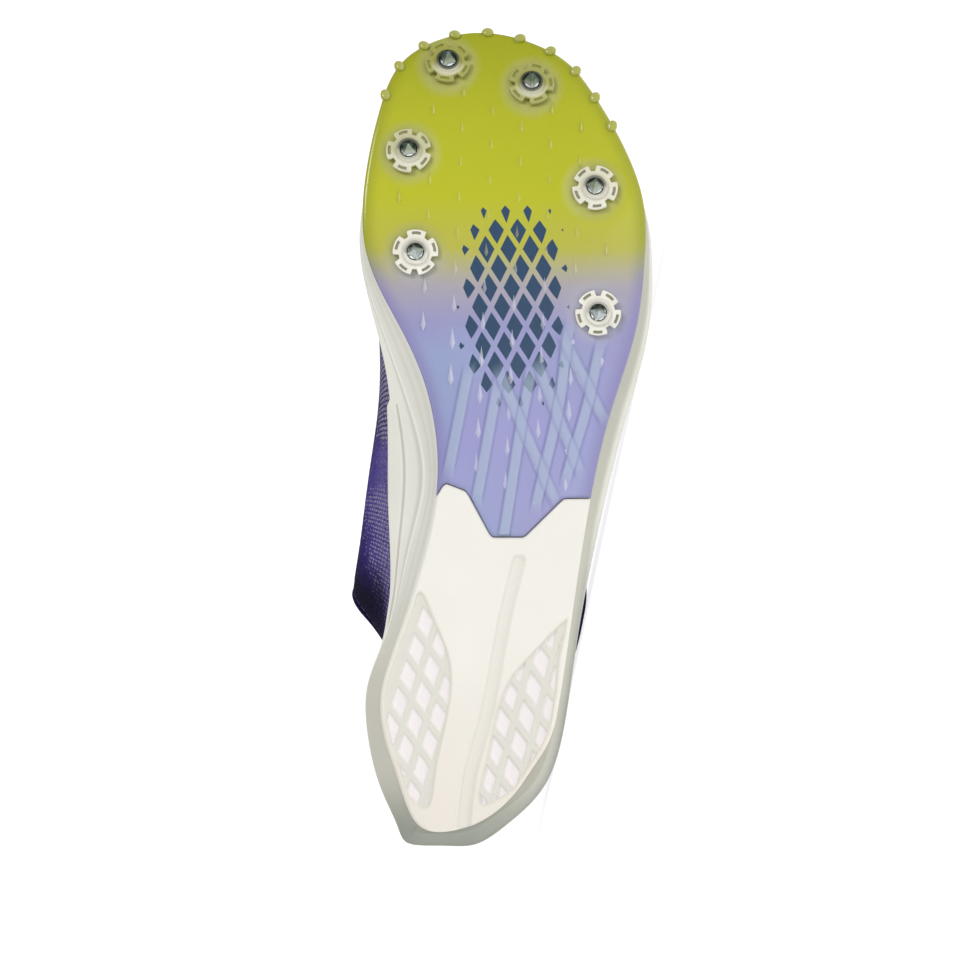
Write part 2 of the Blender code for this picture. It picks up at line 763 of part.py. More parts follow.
def heel_pad(home, tools):
    ring = base_ring(mesh_places())
    mesh = slab("heel_pad", ring, -GAP, -GAP - PAD, PAD_CHAMFER)
    pad = add_piece("heel_pad", mesh, PAD_STUFF, home)
    region = solid_outline("pad_region", pad_region(0.0), -CUT_REACH, CUT_REACH)
    cut(pad, "INTERSECT", add_helper("pad_region", region, tools))
    groove = placed(GROOVE)
    way = unit(np.gradient(groove, axis=0))
    side = np.column_stack([-way[:, 1], way[:, 0]]) * GROOVE_WIDTH / 2
    flat = np.vstack([groove + side, (groove - side)[::-1]])
    mesh = solid_outline("pad_groove", flat, -CUT_REACH, GROOVE_DEPTH)
    cut(pad, "DIFFERENCE", add_helper("pad_groove", mesh, tools))
    for name, outline in (("outer_panel", OUTER_PANEL), ("inner_panel", INNER_PANEL)):
        flat = rounded(placed(outline), PANEL_ROUND)
        mesh = solid_outline(name, flat, -CUT_REACH, PANEL_DEPTH)
        cut(pad, "DIFFERENCE", add_helper(name, mesh, tools))
    return pad


def sole_frame(x, y, below):
    """Where a detail sits under the foam: its Z axis points straight out of the sole."""
    slope = (under_foam(x + X_NUDGE) - under_foam(x - X_NUDGE)) / (2 * X_NUDGE)
    out = Vector((slope, 0, -1)).normalized()
    side = Vector((0, 1, 0))
    ahead = side.cross(out)
    turn = Matrix((ahead, side, out)).transposed().to_4x4()
    place = Vector((x, y, under_foam(x))) + out * below
    return Matrix.Translation(place) @ turn


def toe_rim_places():
    """Points along the plate's edge, evenly spaced round the toe."""
    rows = np.linspace(TOE_ROW - RIM_SEARCH_ROWS, TOE_ROW + RIM_SEARCH_ROWS, 400)
    edge, out, _ = edge_of_sole(rows)
    steps = np.linalg.norm(np.diff(edge, axis=0), axis=1)
    run = np.concatenate([[0], np.cumsum(steps)])
    run -= np.interp(TOE_ROW, rows, run) - STUD_SHIFT
    wanted = (np.arange(STUDS) - STUDS // 2) * STUD_PITCH
    middle = edge - out * STUD_INSET
    return [(np.interp(w, run, middle[:, 0]), np.interp(w, run, middle[:, 1])) for w in wanted]


def rib_mesh(name, ends):
    """A low bar that follows the plate's underside."""
    path = open_spline(placed(ends), 5)
    way = unit(np.gradient(path, axis=0))
    side = np.column_stack([-way[:, 1], way[:, 0]]) * RIB_WIDTH / 2
    rings = []
    for point, offset in zip(path, side):
        corners = [point + offset, point - offset]
        height = under_foam(point[0]) - GAP
        low, high = height - PLATE - RIB_HEIGHT, height - PLATE / 2
        ring = [(*corners[0], high), (*corners[1], high), (*corners[1], low), (*corners[0], low)]
        rings.append(np.array(ring))
    caps = [np.tile(ring.mean(axis=0), (4, 1)) for ring in (rings[0], rings[-1])]
    return lofted(name, [caps[0]] + rings + [caps[1]])


def spike_plate(home, tools):
    ring = base_ring(mesh_places())
    mesh = slab("spike_plate", ring, -GAP, -GAP - PLATE, PLATE_CHAMFER)
    plate = add_piece("spike_plate", mesh, PLATE_STUFF, home)
    region = solid_outline("plate_back", pad_region(GAP), -CUT_REACH, CUT_REACH)
    cut(plate, "DIFFERENCE", add_helper("plate_back", region, tools))
    added = new_collection("plate_details", rendered=False)
    for number, (x, y) in enumerate(toe_rim_places()):
        stud = bmesh.new()
        height = PLATE + STUD_HEIGHT - STUD_SUNK
        bmesh.ops.create_cone(
            stud,
            cap_ends=True,
            segments=10,
            radius1=STUD_RADIUS,
            radius2=STUD_TOP * STUD_RADIUS,
            depth=height,
            matrix=sole_frame(x, y, GAP + STUD_SUNK + height / 2),
        )
        mesh = bpy.data.meshes.new("toe_stud")
        stud.to_mesh(mesh)
        stud.free()
        add_helper(f"toe_stud_{number}", mesh, added)
    for number, ends in enumerate(RIBS):
        add_helper(f"waist_rib_{number}", rib_mesh("waist_rib", ends), added)
    cut(plate, "UNION", added)
    return plate


def ring_at(angles, radii, height):
    return np.column_stack([radii * np.cos(angles), radii * np.sin(angles), height + 0 * angles])


def receptacle_mesh():
    """A flange with notched arms round a hub, open at its top for the pin."""
    pitch = 2 * math.pi / ARMS
    angles, rims = [], []
    for arm in range(ARMS):
        for share, radius in ARM_OUTLINE:
            angles.append((arm + share) * pitch)
            rims.append(radius)
    angles, rims = np.array(angles), np.array(rims)
    whole = np.ones(len(angles))
    rings = [
        ring_at(angles, 0 * whole, 0.0),
        ring_at(angles, rims, 0.0),
        ring_at(angles, rims - FLANGE_TAPER, FLANGE),
        ring_at(angles, HUB_RADIUS * whole, FLANGE),
        ring_at(angles, (HUB_RADIUS - HUB_TAPER) * whole, HUB_HEIGHT),
        ring_at(angles, BORE_RADIUS * whole, HUB_HEIGHT),
        ring_at(angles, BORE_RADIUS * whole, BORE_FLOOR),
        ring_at(angles, 0 * whole, BORE_FLOOR),
    ]
    return lofted("receptacle", rings)


def pin_mesh():
    """A round shank with a four-sided point."""
    angles = np.radians(np.arange(8) * 45.0)
    whole = np.ones(len(angles))
    square = np.where(np.arange(8) % 2 == 1, math.sqrt(2), 1.0)
    foot = BORE_FLOOR + GAP
    tip = HUB_HEIGHT + PIN_LENGTH
    rings = [
        ring_at(angles, 0 * whole, foot),
        ring_at(angles, (BORE_RADIUS - GAP) * whole, foot),
        ring_at(angles, (BORE_RADIUS - GAP) * whole, HUB_HEIGHT + SHANK_TOP),
        ring_at(angles, PIN_HALF * square, HUB_HEIGHT + SHOULDER),
        ring_at(angles, PIN_TIP * square, tip),
        ring_at(angles, 0 * whole, tip),
    ]
    return lofted("spike", rings)


def pins(home):
    pieces = []
    for number, (along, out, turn) in enumerate(PINS, start=1):
        frame = sole_frame(along * LENGTH, out * BALL_WIDTH, GAP + PLATE + SEAT_GAP)
        frame = frame @ Matrix.Rotation(math.radians(turn), 4, "Z")
        socket = add_piece(f"receptacle_{number}", receptacle_mesh(), SOCKET_STUFF, home)
        pin = add_piece(f"spike_{number}", pin_mesh(), STEEL_STUFF, home)
        for piece in (socket, pin):
            piece.matrix_world = frame
            pieces.append(piece)
    return pieces


def heft(points, faces, weight):
    """Mass and first moment of a closed triangle mesh."""
    a, b, c = (points[faces[:, k]] for k in range(3))
    volumes = np.einsum("ij,ij->i", a, np.cross(b, c)) / 6
    moment = ((a + b + c) / 4 * volumes[:, None]).sum(axis=0)
    return volumes.sum() * weight, moment * weight


def solid_points(obj, graph):
    """World points and triangles of an object with its modifiers."""
    evaluated = obj.evaluated_get(graph)
    mesh = evaluated.to_mesh()
    mesh.calc_loop_triangles()
    points = np.array([evaluated.matrix_world @ vertex.co for vertex in mesh.vertices])
    faces = np.array([triangle.vertices[:] for triangle in mesh.loop_triangles])
    evaluated.to_mesh_clear()
    return points, faces


def lie_on_side(pieces, holder):
    """Turns the shoe onto the face of its hull, on the outer side, where it comes to rest."""
    bpy.context.view_layer.update()
    graph = bpy.context.evaluated_depsgraph_get()
    mass, moment, cloud = 0.0, np.zeros(3), []
    for piece in pieces:
        points, faces = solid_points(piece, graph)
        part_mass, part_moment = heft(points, faces, piece["weight"])
        mass += part_mass
        moment += part_moment
        cloud.append(points)
    centre = Vector(moment / mass)
    cloud = np.vstack(cloud)
    hull = bmesh.new()
    for point in cloud:
        hull.verts.new(point)
    bmesh.ops.convex_hull(hull, input=hull.verts, use_existing_faces=False)
    middle = Vector(cloud.mean(axis=0))
    best = None
    for face in hull.faces:
        out = face.normal.copy()
        if out.dot(face.calc_center_median() - middle) < 0:
            out.negate()
        height = out.dot(face.verts[0].co - centre)
        under = centre + out * height
        steady = geometry.intersect_point_tri(under, *[vert.co for vert in face.verts])
        if best is None or (steady is not None, out.y) > best[0]:
            best = ((steady is not None, out.y), out)
    hull.free()
    down = best[1]
    sole_out = Vector((0, 0, -1))
    front = (sole_out - down * sole_out.dot(down)).normalized()
    right = front.cross(down)
    turn = Matrix((right, -front, -down))
    turned = cloud @ np.array(turn).T
    low, high = turned.min(axis=0), turned.max(axis=0)
    shift = Vector((-(low[0] + high[0]) / 2, -(low[1] + high[1]) / 2, -low[2]))
    holder.matrix_world = Matrix.Translation(shift) @ turn.to_4x4()


def main():
    clear_scene()
    home = new_collection("track_spike_shoe")
    tools = new_collection("cutters", rendered=False)
    pieces = [
        midsole(home),
        insole(home),
        upper(home),
        tongue(home),
        laces(home),
        heel_pad(home, tools),
        spike_plate(home, tools),
    ]
    pieces += pins(home)
    holder = bpy.data.objects.new("shoe_frame", None)
    home.objects.link(holder)
    lie_on_side(pieces, holder)
    helpers = [obj for obj in bpy.data.objects if obj.hide_render]
    for obj in pieces + helpers:
        obj.parent = holder


main()
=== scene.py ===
"""Looks of a left track spike shoe that lies on its outer side, seen at its sole. Metres."""

import math
from collections import namedtuple

import bmesh
import bpy
import numpy as np
from mathutils import Matrix, Vector


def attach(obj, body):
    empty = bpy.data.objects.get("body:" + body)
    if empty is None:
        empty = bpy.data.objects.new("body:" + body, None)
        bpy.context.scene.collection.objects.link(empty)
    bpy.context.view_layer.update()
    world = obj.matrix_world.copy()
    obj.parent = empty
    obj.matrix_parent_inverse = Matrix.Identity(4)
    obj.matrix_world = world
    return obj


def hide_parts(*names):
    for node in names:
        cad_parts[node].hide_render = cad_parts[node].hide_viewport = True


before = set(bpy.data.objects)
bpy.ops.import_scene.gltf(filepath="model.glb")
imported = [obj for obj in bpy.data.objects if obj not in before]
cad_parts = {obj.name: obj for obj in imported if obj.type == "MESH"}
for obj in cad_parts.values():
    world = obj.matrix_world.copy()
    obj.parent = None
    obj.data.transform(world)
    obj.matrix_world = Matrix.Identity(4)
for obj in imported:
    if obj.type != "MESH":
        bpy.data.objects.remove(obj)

# From the shoe's own frame (+X to the toe, +Y to the outer side, +Z up from the sole) to the world
SHOE_TO_WORLD = Matrix(
    (
        (0.978204668, 0.207642972, -0.000000014, -0.135704756),
        (0.001650300, -0.007774486, 0.999968410, -0.039563932),
        (0.207636416, -0.978173792, -0.007947711, 0.016675560),
        (0.0, 0.0, 0.0, 1.0),
    )
)

# Driving dimensions of the CAD model
LENGTH = 0.281
BALL_WIDTH = 0.100
INSTEP = 0.082
GAP = 0.0003
WALL = 0.0016
BAND = 0.0007
BAND_WIDTH = 0.011
LIFT = 0.50
TOE_LIFT = 0.40
DROP = 0.20
TOE_START = 0.80
CURVE_STEPS = 96
NUDGE = 0.0004
ROW_NUDGE = 0.04
X_NUDGE = 0.001
HEEL_SIDE = 0.0245
FRONT_SIDE = 0.0125
CUP_DEPTH = 0.0055
RIM = 0.0022
RIM_DROP = 0.0005
LEDGE = 0.0034
PLATE = 0.0016
PLATE_LIP = 0.0015
PLATE_CHAMFER = 0.0005
PAD = 0.0040
PAD_CHAMFER = 0.0010
HEEL_BEVEL = 0.0030
ARCH_RISE = 0.0030
TOE_SPRING = 0.0240
EDGE_ROLL = 0.0008
INSOLE = 0.0030
INSOLE_GAP = 0.0007
SIDE_FALL_START = 0.25
SIDE_FALL_END = 0.70
PAD_FADE_START = 0.40
PAD_FADE_END = 0.62
LIP_START = 0.74
LIP_END = 0.84
ARCH_MIDDLE = 0.47
ARCH_SPREAD = 0.12
HEEL_BEVEL_END = 0.09
BALL_ALONG = 0.66
SPINE_HEEL = 0.10
SPINE_TOE = 0.87
WIDEST = 0.25
SLOPE = 0.40
SPRING_POWER = 2.1
CREASE = 0.80
WING_CREASE = 0.28
WING_MIDDLE = 0.45
WING_SPREAD = 0.11
CREASE_POWER = 0.6
FLOOR_SHARE = 0.6
GROOVE_WIDTH = 0.0043
GROOVE_DEPTH = 0.0010
PANEL_DEPTH = 0.0014
STUDS = 10
STUD_PITCH = 0.0116
STUD_SHIFT = 0.0027
STUD_RADIUS = 0.0020
STUD_INSET = 0.0008
STUD_HEIGHT = 0.0010
RIM_SEARCH_ROWS = 4
RIB_WIDTH = 0.0042
RIB_HEIGHT = 0.0007
ARMS = 5
FLANGE_RADIUS = 0.0078
NOTCH_RADIUS = 0.0058
FLANGE = 0.0012
HUB_RADIUS = 0.0043
HUB_HEIGHT = 0.0025
BORE_RADIUS = 0.0029
BORE_FLOOR = 0.0010
SEAT_GAP = 0.0005
PIN_HALF = 0.0022
PIN_TIP = 0.0004
PIN_LENGTH = 0.0060
SHANK_TOP = 0.0002
SHOULDER = 0.0006
EYELETS = 6
EYELET_RADIUS = 0.0020
EYELET_IN = 0.0055
EYELET_FIRST = 0.385
EYELET_LAST = 0.600
TONGUE = 0.0022
TONGUE_GAP = 0.0017
TONGUE_TUCK = 0.008
TONGUE_ARCH = 0.14
TONGUE_RISE = 0.018
EDGE_INSET = 0.0005
CROWN_FADE_ROWS = 2.5
CROWN_FADE_SPAN = 2.2
LACE_WIDTH = 0.0050
LACE = 0.0012
LACE_GAP = 0.0005
LACE_EDGE_INSET = 0.0008
LACE_EDGE_SHARE = 0.14

# The side seam of the foam's inner wing, how far the strip above it stands out, and where along
# the shoe that strip starts and ends
SEAM_SHARE = 0.55
CLIP_RISE = 0.0012
CLIP_FRONT = (0.1535, 0.1510)
CLIP_BACK = (0.066, 0.082)

# The plate's field of diamonds: one diamond's pitch, and the field's middle and half sizes
DIAMOND_LENGTH = 0.0132
DIAMOND_WIDTH = 0.0076
DIAMOND_SLANT = 0.08
DIAMOND_SHARE = 0.41
DIAMONDS_ALONG = 0.186
DIAMONDS_OUT = 0.008
DIAMONDS_LONG = 0.040
DIAMONDS_WIDE = 0.021

# How much shorter the tongue's end is at its sides
TONGUE_ROUND = 0.55

# How far a rib fades out past its ends
RIB_TAIL = 0.0085

# How much of each receptacle's toe side the plate hides
VEILS = (0.92, 0.85, 0.45, 0.12, 0.05, 0.0)

# How much painted shade darkens the toe side of each hub, and how much of that goes all the way
# round it
HUB_SHADES = (0.95, 0.95, 0.85, 0.75, 0.55, 0.45)
HUB_SHADES_ROUND = (0.95, 0.90, 0.45, 0.25, 0.10, 0.0)

# How much painted highlight each pin gets on its heel side, and how far the painted shade of the
# bore round it gives way
PIN_LIGHTS = (0.0, 0.0, 0.0, 0.15, 0.45, 0.60)

# How much of the plate's tint lies over each whole flange
TINTS = (0.86, 0.78, 0.24, 0.08, 0.0, 0.0)

# The world's direction toward the toe
TOE_WAY = (0.978, 0.002, 0.208)

# The upper's loops, and the pitch of its dotted rows
LOOP_WIDTH = 0.0008
LOOP_HEIGHT = 0.0007
STITCH_PITCH = 0.0016
THREAD_PITCH = 0.0034
THREAD_OFFSET = 0.0016
BRAID_PITCH = 0.0011

# Weave at the bottom of the heel's lattices, and how far these stay inside the pad's edge
WEAVE_PITCH = 0.0006
PANEL_MARGIN = 0.0014

# The shallow dimple round each flange: its outer and inner radius, and its depth
DIMPLE = (0.0125, 0.0075)
DIMPLE_DEPTH = 0.0003

# The teeth's grid over the plate: its start, steps and slant, and the room that each tooth needs
# from the sole's edge, a pin's middle and the pad. No tooth stands past TEETH_TOE.
TEETH_ALONG = 0.2527
TEETH_ROW = 0.0121
TEETH_OUT = 0.0010
TEETH_COLUMN = 0.0102
TEETH_SLANT = 0.045
TEETH_EDGE = 0.007
TEETH_PIN = 0.0098
TEETH_PAD = 0.006
TEETH_TOE = 0.262

# One tooth: the four corners of its foot, and its top
TOOTH = np.array(
    [
        (-0.0026, 0.0000, 0.0),
        (0.0010, -0.0007, 0.0),
        (0.0024, 0.0000, 0.0),
        (0.0010, 0.0007, 0.0),
        (0.0009, -0.0001, 0.0008),
    ]
)

# Shares of the lace's width along one bar, from eyelet to eyelet
LACE_WIDTHS = (0.60, 0.62, 0.80, 1.0, 1.0, 1.0, 0.80, 0.62, 0.60)

# Each cloth's two shades, the width and height of a loop, and the depth of its relief
TONGUE_CLOTH = ((30, 22, 66), (48, 38, 96), 0.0012, 0.001, 0.0003)
FOOTBED_CLOTH = ((44, 38, 78), (60, 54, 100), 0.0009, 0.0009, 0.0002)

# The camera's distance, the width that it sees there, and the point of the sole that it looks at
CAMERA_DISTANCE = 1.5
CAMERA_SPAN = 0.3337
CAMERA_ALONG = 0.1225
CAMERA_OUT = 0.0001

LIGHT_TARGET = (0.0, 0.0, 0.05)

# How finely the pieces are drawn
ROWS_SPLIT = 14
BEVEL_STEPS = 12
FLARE_STEPS = 20
RIM_STEPS = (22, 4, 4)
PAD_ROWS = 400
PAD_COLUMNS = 170
PLATE_ROWS = 380
PLATE_COLUMNS = 180
ROUND_POINTS = 160

Place = namedtuple("Place", "along out base_in swell puff edge_along edge_out edge_up")

# The CAD model's table of places round the sole: shares of LENGTH for along, of INSTEP for up,
# and of BALL_WIDTH for the rest
PLACES = (
    Place(0.000, -0.160, 0.051, 0.015, 0.000, 0.032, -0.130, 1.000),
    Place(0.002, -0.045, 0.062, 0.015, 0.000, 0.040, -0.040, 0.990),
    Place(0.029, 0.070, 0.055, 0.020, 0.000, 0.065, 0.045, 0.960),
    Place(0.079, 0.197, 0.043, 0.020, 0.010, 0.108, 0.130, 0.870),
    Place(0.162, 0.264, 0.035, 0.025, 0.025, 0.170, 0.210, 0.755),
    Place(0.270, 0.309, 0.033, 0.040, 0.045, 0.243, 0.280, 0.705),
    Place(0.388, 0.375, 0.048, 0.010, 0.065, 0.305, 0.295, 0.820),
    Place(0.511, 0.460, 0.060, 0.000, 0.160, 0.370, 0.190, 0.990),
    Place(0.619, 0.539, 0.047, 0.000, 0.200, 0.440, 0.160, 0.935),
    Place(0.709, 0.557, 0.030, 0.000, 0.220, 0.510, 0.150, 0.855),
    Place(0.791, 0.528, 0.006, 0.000, 0.240, 0.570, 0.140, 0.780),
    Place(0.871, 0.439, 0.002, 0.000, 0.300, 0.608, 0.115, 0.730),
    Place(0.932, 0.338, 0.002, 0.000, 0.400, 0.630, 0.085, 0.700),
    Place(0.975, 0.215, 0.002, 0.010, 0.480, 0.640, 0.050, 0.684),
    Place(1.000, -0.034, 0.002, 0.010, 0.550, 0.644, 0.005, 0.677),
    Place(0.971, -0.277, 0.002, 0.010, 0.480, 0.640, -0.040, 0.684),
    Place(0.906, -0.376, 0.002, 0.000, 0.380, 0.630, -0.075, 0.700),
    Place(0.820, -0.427, 0.003, 0.000, 0.280, 0.608, -0.105, 0.730),
    Place(0.730, -0.445, 0.020, 0.000, 0.220, 0.570, -0.130, 0.780),
    Place(0.647, -0.400, 0.066, 0.050, 0.240, 0.510, -0.145, 0.855),
    Place(0.547, -0.345, 0.135, 0.130, 0.300, 0.440, -0.170, 0.935),
    Place(0.424, -0.340, 0.155, 0.190, 0.290, 0.370, -0.230, 1.000),
    Place(0.302, -0.334, 0.062, 0.140, 0.110, 0.296, -0.432, 0.805),
    Place(0.223, -0.399, 0.050, 0.000, 0.015, 0.243, -0.335, 0.715),
    Place(0.165, -0.428, 0.056, 0.000, 0.020, 0.170, -0.355, 0.745),
    Place(0.086, -0.390, 0.062, 0.000, 0.010, 0.108, -0.315, 0.870),
    Place(0.029, -0.324, 0.064, 0.000, 0.000, 0.065, -0.265, 0.965),
    Place(0.003, -0.280, 0.055, 0.010, 0.000, 0.040, -0.210, 0.990),
)
PLACE_SIZES = np.array([LENGTH] + 4 * [BALL_WIDTH] + [LENGTH, BALL_WIDTH, INSTEP])
ROWS = len(PLACES)
TOE_ROW = ROWS // 2
THROAT_TOP_ROW = 7

PAD_FRONT = (
    (0.425, 0.600),
    (0.425, 0.253),
    (0.378, 0.118),
    (0.378, 0.005),
    (0.434, -0.080),
    (0.444, -0.154),
    (0.426, -0.184),
    (0.426, -0.600),
)
GROOVE = ((0.349, 0.098), (0.276, 0.048), (0.167, -0.010), (0.090, -0.068), (0.010, -0.095))
OUTER_LATTICE = (
    (0.280, 0.262),
    (0.238, 0.142),
    (0.205, 0.064),
    (0.162, 0.018),
    (0.109, -0.012),
    (0.055, -0.034),
    (0.069, 0.072),
    (0.095, 0.165),
    (0.128, 0.208),
    (0.193, 0.228),
    (0.250, 0.250),
)
INNER_LATTICE = (
    (0.312, -0.245),
    (0.286, -0.196),
    (0.240, -0.143),
    (0.198, -0.130),
    (0.151, -0.150),
    (0.094, -0.184),
    (0.050, -0.212),
    (0.069, -0.290),
    (0.106, -0.333),
    (0.138, -0.352),
    (0.176, -0.362),
    (0.215, -0.350),
    (0.262, -0.302),
)

# Each panel's lattice: the middle of one opening, the steps to its two neighbours, and how far
# inside the outline an opening's middle must lie.
Panel = namedtuple("Panel", "outline middle along across inside")
PANELS = (
    Panel(INNER_LATTICE, (0.0772, -0.0220), (-0.0090, -0.0029), (-0.0070, 0.0051), 0.0004),
    Panel(OUTER_LATTICE, (0.0643, 0.0174), (-0.0096, -0.0025), (-0.0078, 0.0057), -0.0018),
)
RIBS = (
    ((0.474, -0.133), (0.565, -0.082)),
    ((0.437, -0.038), (0.551, 0.020)),
    ((0.384, 0.050), (0.513, 0.106), (0.565, 0.133)),
    ((0.430, 0.166), (0.539, 0.236), (0.616, 0.263)),
    ((0.462, 0.270), (0.539, 0.333), (0.595, 0.366)),
    ((0.437, 0.206), (0.565, 0.048)),
    ((0.475, 0.290), (0.575, 0.178)),
    ((0.536, 0.370), (0.606, 0.272)),
)
PINS = (
    (0.956, -0.144, 20),
    (0.929, 0.144, 50),
    (0.846, -0.277, 10),
    (0.801, 0.359, 35),
    (0.723, -0.253, 62),
    (0.651, 0.369, 28),
)


# ---- The CAD model's own shape ----


def hermite(t, before, before_slope, after, after_slope):
    """The cubic between two values with their slopes, at shares t of the way."""
    return (
        (2 * t**3 - 3 * t**2 + 1) * before
        + (t**3 - 2 * t**2 + t) * before_slope
        + (3 * t**2 - 2 * t**3) * after
        + (t**3 - t**2) * after_slope
    )


def closed_spline(points, at):
    """Values of the closed cubic spline through points, at places counted in points."""
    count = len(points)
    around = np.roll(points, -1, axis=0) - np.roll(points, 1, axis=0)
    near = np.roll(np.eye(count), 1, axis=1) + np.roll(np.eye(count), -1, axis=1)
    slopes = np.linalg.solve(4 * np.eye(count) + near, 3 * around)
    first = np.floor(at).astype(int) % count
    second = (first + 1) % count
    t = (at - np.floor(at))[:, None]
    return hermite(t, points[first], slopes[first], points[second], slopes[second])


def open_spline(points, samples):
    points = np.asarray(points, dtype=float)
    slopes = np.gradient(points, axis=0)
    at = np.linspace(0, len(points) - 1, samples)
    first = np.minimum(np.floor(at).astype(int), len(points) - 2)
    t = (at - first)[:, None]
    return hermite(t, points[first], slopes[first], points[first + 1], slopes[first + 1])


def unit(vectors):
    return vectors / np.linalg.norm(vectors, axis=-1, keepdims=True)


def step(value, start, end):
    t = np.clip((value - start) / (end - start), 0, 1)
    return t * t * (3 - 2 * t)


def bell(value, middle, spread):
    return np.exp(-(((value - middle) / spread) ** 2))


def circle(count):
    return np.linspace(0, 2 * math.pi, count, endpoint=False)


def running_length(line):
    """Each point's distance along a line, from the line's first point."""
    steps = np.linalg.norm(np.diff(line, axis=0), axis=1)
    return np.concatenate([[0], np.cumsum(steps)])


def in_frame(points, frame_of):
    turn = np.array(frame_of)
    return points @ turn[:3, :3].T + turn[:3, 3]


def ramp(x, start, end):
    return step(x / LENGTH, start, end)


def hump(x, middle, spread):
    return bell(x / LENGTH, middle, spread)


def under_foam(x, share=0.0):
    skin = GAP + PLATE + (PAD - PLATE) * (1 - ramp(x, PAD_FADE_START, PAD_FADE_END))
    arch = ARCH_RISE * hump(x, ARCH_MIDDLE, ARCH_SPREAD)
    past_ball = np.maximum(x / LENGTH - BALL_ALONG, 0) / (1 - BALL_ALONG)
    spring = TOE_SPRING * past_ball**SPRING_POWER
    heel = HEEL_BEVEL * np.maximum(1 - x / LENGTH / HEEL_BEVEL_END, 0) ** 2
    return skin + arch + spring + heel + EDGE_ROLL * share**4


def rim_height(x):
    fall = ramp(x, SIDE_FALL_START, SIDE_FALL_END)
    return under_foam(x) + HEEL_SIDE + (FRONT_SIDE - HEEL_SIDE) * fall


def with_height(flat, heights):
    return np.column_stack([flat[:, :2], heights])


def edge_of_sole(at):
    table = np.array(PLACES) * PLACE_SIZES
    values = closed_spline(table, at)
    flat = table[:, :2]
    way = unit(closed_spline(flat, at + ROW_NUDGE) - closed_spline(flat, at - ROW_NUDGE))
    out = np.column_stack([-way[:, 1], way[:, 0], np.zeros(len(at))])
    edge = np.column_stack([values[:, :2], np.zeros(len(at))])
    return edge, out, Place(*values.T)


def foam_lip(x):
    return (PLATE_LIP * ramp(x, LIP_START, LIP_END))[:, None]


def base_ring(at):
    edge, out, place = edge_of_sole(at)
    return edge - out * place.base_in[:, None]


def profiles(at):
    edge, out, place = edge_of_sole(at)
    start = edge - out * (foam_lip(edge[:, 0]) + LEDGE)
    start = with_height(start, rim_height(start[:, 0]))
    end = np.column_stack([place.edge_along, place.edge_out, place.edge_up])
    rise = np.zeros_like(end)
    rise[:, 2] = end[:, 2] - start[:, 2]
    lift = LIFT + TOE_LIFT * ramp(edge[:, 0], TOE_START, 1.0)
    low = start + out * place.swell[:, None] + rise * lift[:, None]
    high = end + out * place.puff[:, None] - rise * DROP
    t = np.linspace(0, 1, CURVE_STEPS)[None, :, None]
    line = (1 - t) ** 3 * start[:, None] + 3 * (1 - t) ** 2 * t * low[:, None]
    line += 3 * (1 - t) * t**2 * high[:, None] + t**3 * end[:, None]
    steps = np.linalg.norm(np.diff(line, axis=1), axis=2)
    run = np.concatenate([np.zeros((len(at), 1)), np.cumsum(steps, axis=1)], axis=1)
    return line, run


def on_profiles(line, run, distance):
    """One point of each line at its distance from the rim; below the rim it runs on straight."""
    rows = np.arange(len(line))
    low = np.clip((run <= distance[:, None]).sum(axis=1) - 1, 0, CURVE_STEPS - 2)
    share = (distance - run[rows, low]) / (run[rows, low + 1] - run[rows, low])
    share = np.minimum(share, 1)[:, None]
    return line[rows, low] + (line[rows, low + 1] - line[rows, low]) * share


class Wall:
    """The upper's outer face at fixed places round the sole."""

    def __init__(self, at):
        self.line, self.run = profiles(at)
        self.ahead = profiles(at + ROW_NUDGE)
        self.behind = profiles(at - ROW_NUDGE)
        self.length = self.run[:, -1]

    def ring(self, distance):
        distance = distance + np.zeros(len(self.line))
        up = on_profiles(self.line, self.run, distance + NUDGE)
        up = up - on_profiles(self.line, self.run, distance - NUDGE)
        along = on_profiles(*self.ahead, distance) - on_profiles(*self.behind, distance)
        return on_profiles(self.line, self.run, distance), unit(np.cross(unit(up), along))

    def below(self, height):
        """Distance below the rim, along the wall, of a height over the cup's floor."""
        first = unit(self.line[:, 1] - self.line[:, 0])
        return -(CUP_DEPTH - height) / first[:, 2]


def spine_of(ring):
    partner = np.roll(ring[::-1], 1, axis=0)
    middle = (ring + partner) / 2
    half = len(ring) // 2
    x = np.clip(middle[:, 0], SPINE_HEEL * LENGTH, SPINE_TOE * LENGTH)
    line = middle[: half + 1]
    y = np.interp(x, line[:, 0], line[:, 1])
    return np.column_stack([x, y, np.zeros(len(ring))])


def sheet_rings(ring, shares, height):
    spine = spine_of(ring)
    rings = []
    for share in shares:
        flat = spine + (ring - spine) * share
        rings.append(with_height(flat, height(flat[:, 0], share)))
    return rings


def placed(outline):
    return np.array([(along * LENGTH, out * BALL_WIDTH) for along, out in outline])


def sole_frame(x, y, below):
    """Where a detail sits under the foam: its Z axis points straight out of the sole."""
    slope = (under_foam(x + X_NUDGE) - under_foam(x - X_NUDGE)) / (2 * X_NUDGE)
    out = Vector((slope, 0, -1)).normalized()
    side = Vector((0, 1, 0))
    ahead = side.cross(out)
    turn = Matrix((ahead, side, out)).transposed().to_4x4()
    place = Vector((x, y, under_foam(x))) + out * below
    return Matrix.Translation(place) @ turn


# ---- Meshes ----


def add_field(mesh, name, values):
    layer = mesh.attributes.new(name, "FLOAT", "POINT")
    layer.data.foreach_set("value", np.asarray(values, dtype=np.float32).ravel())


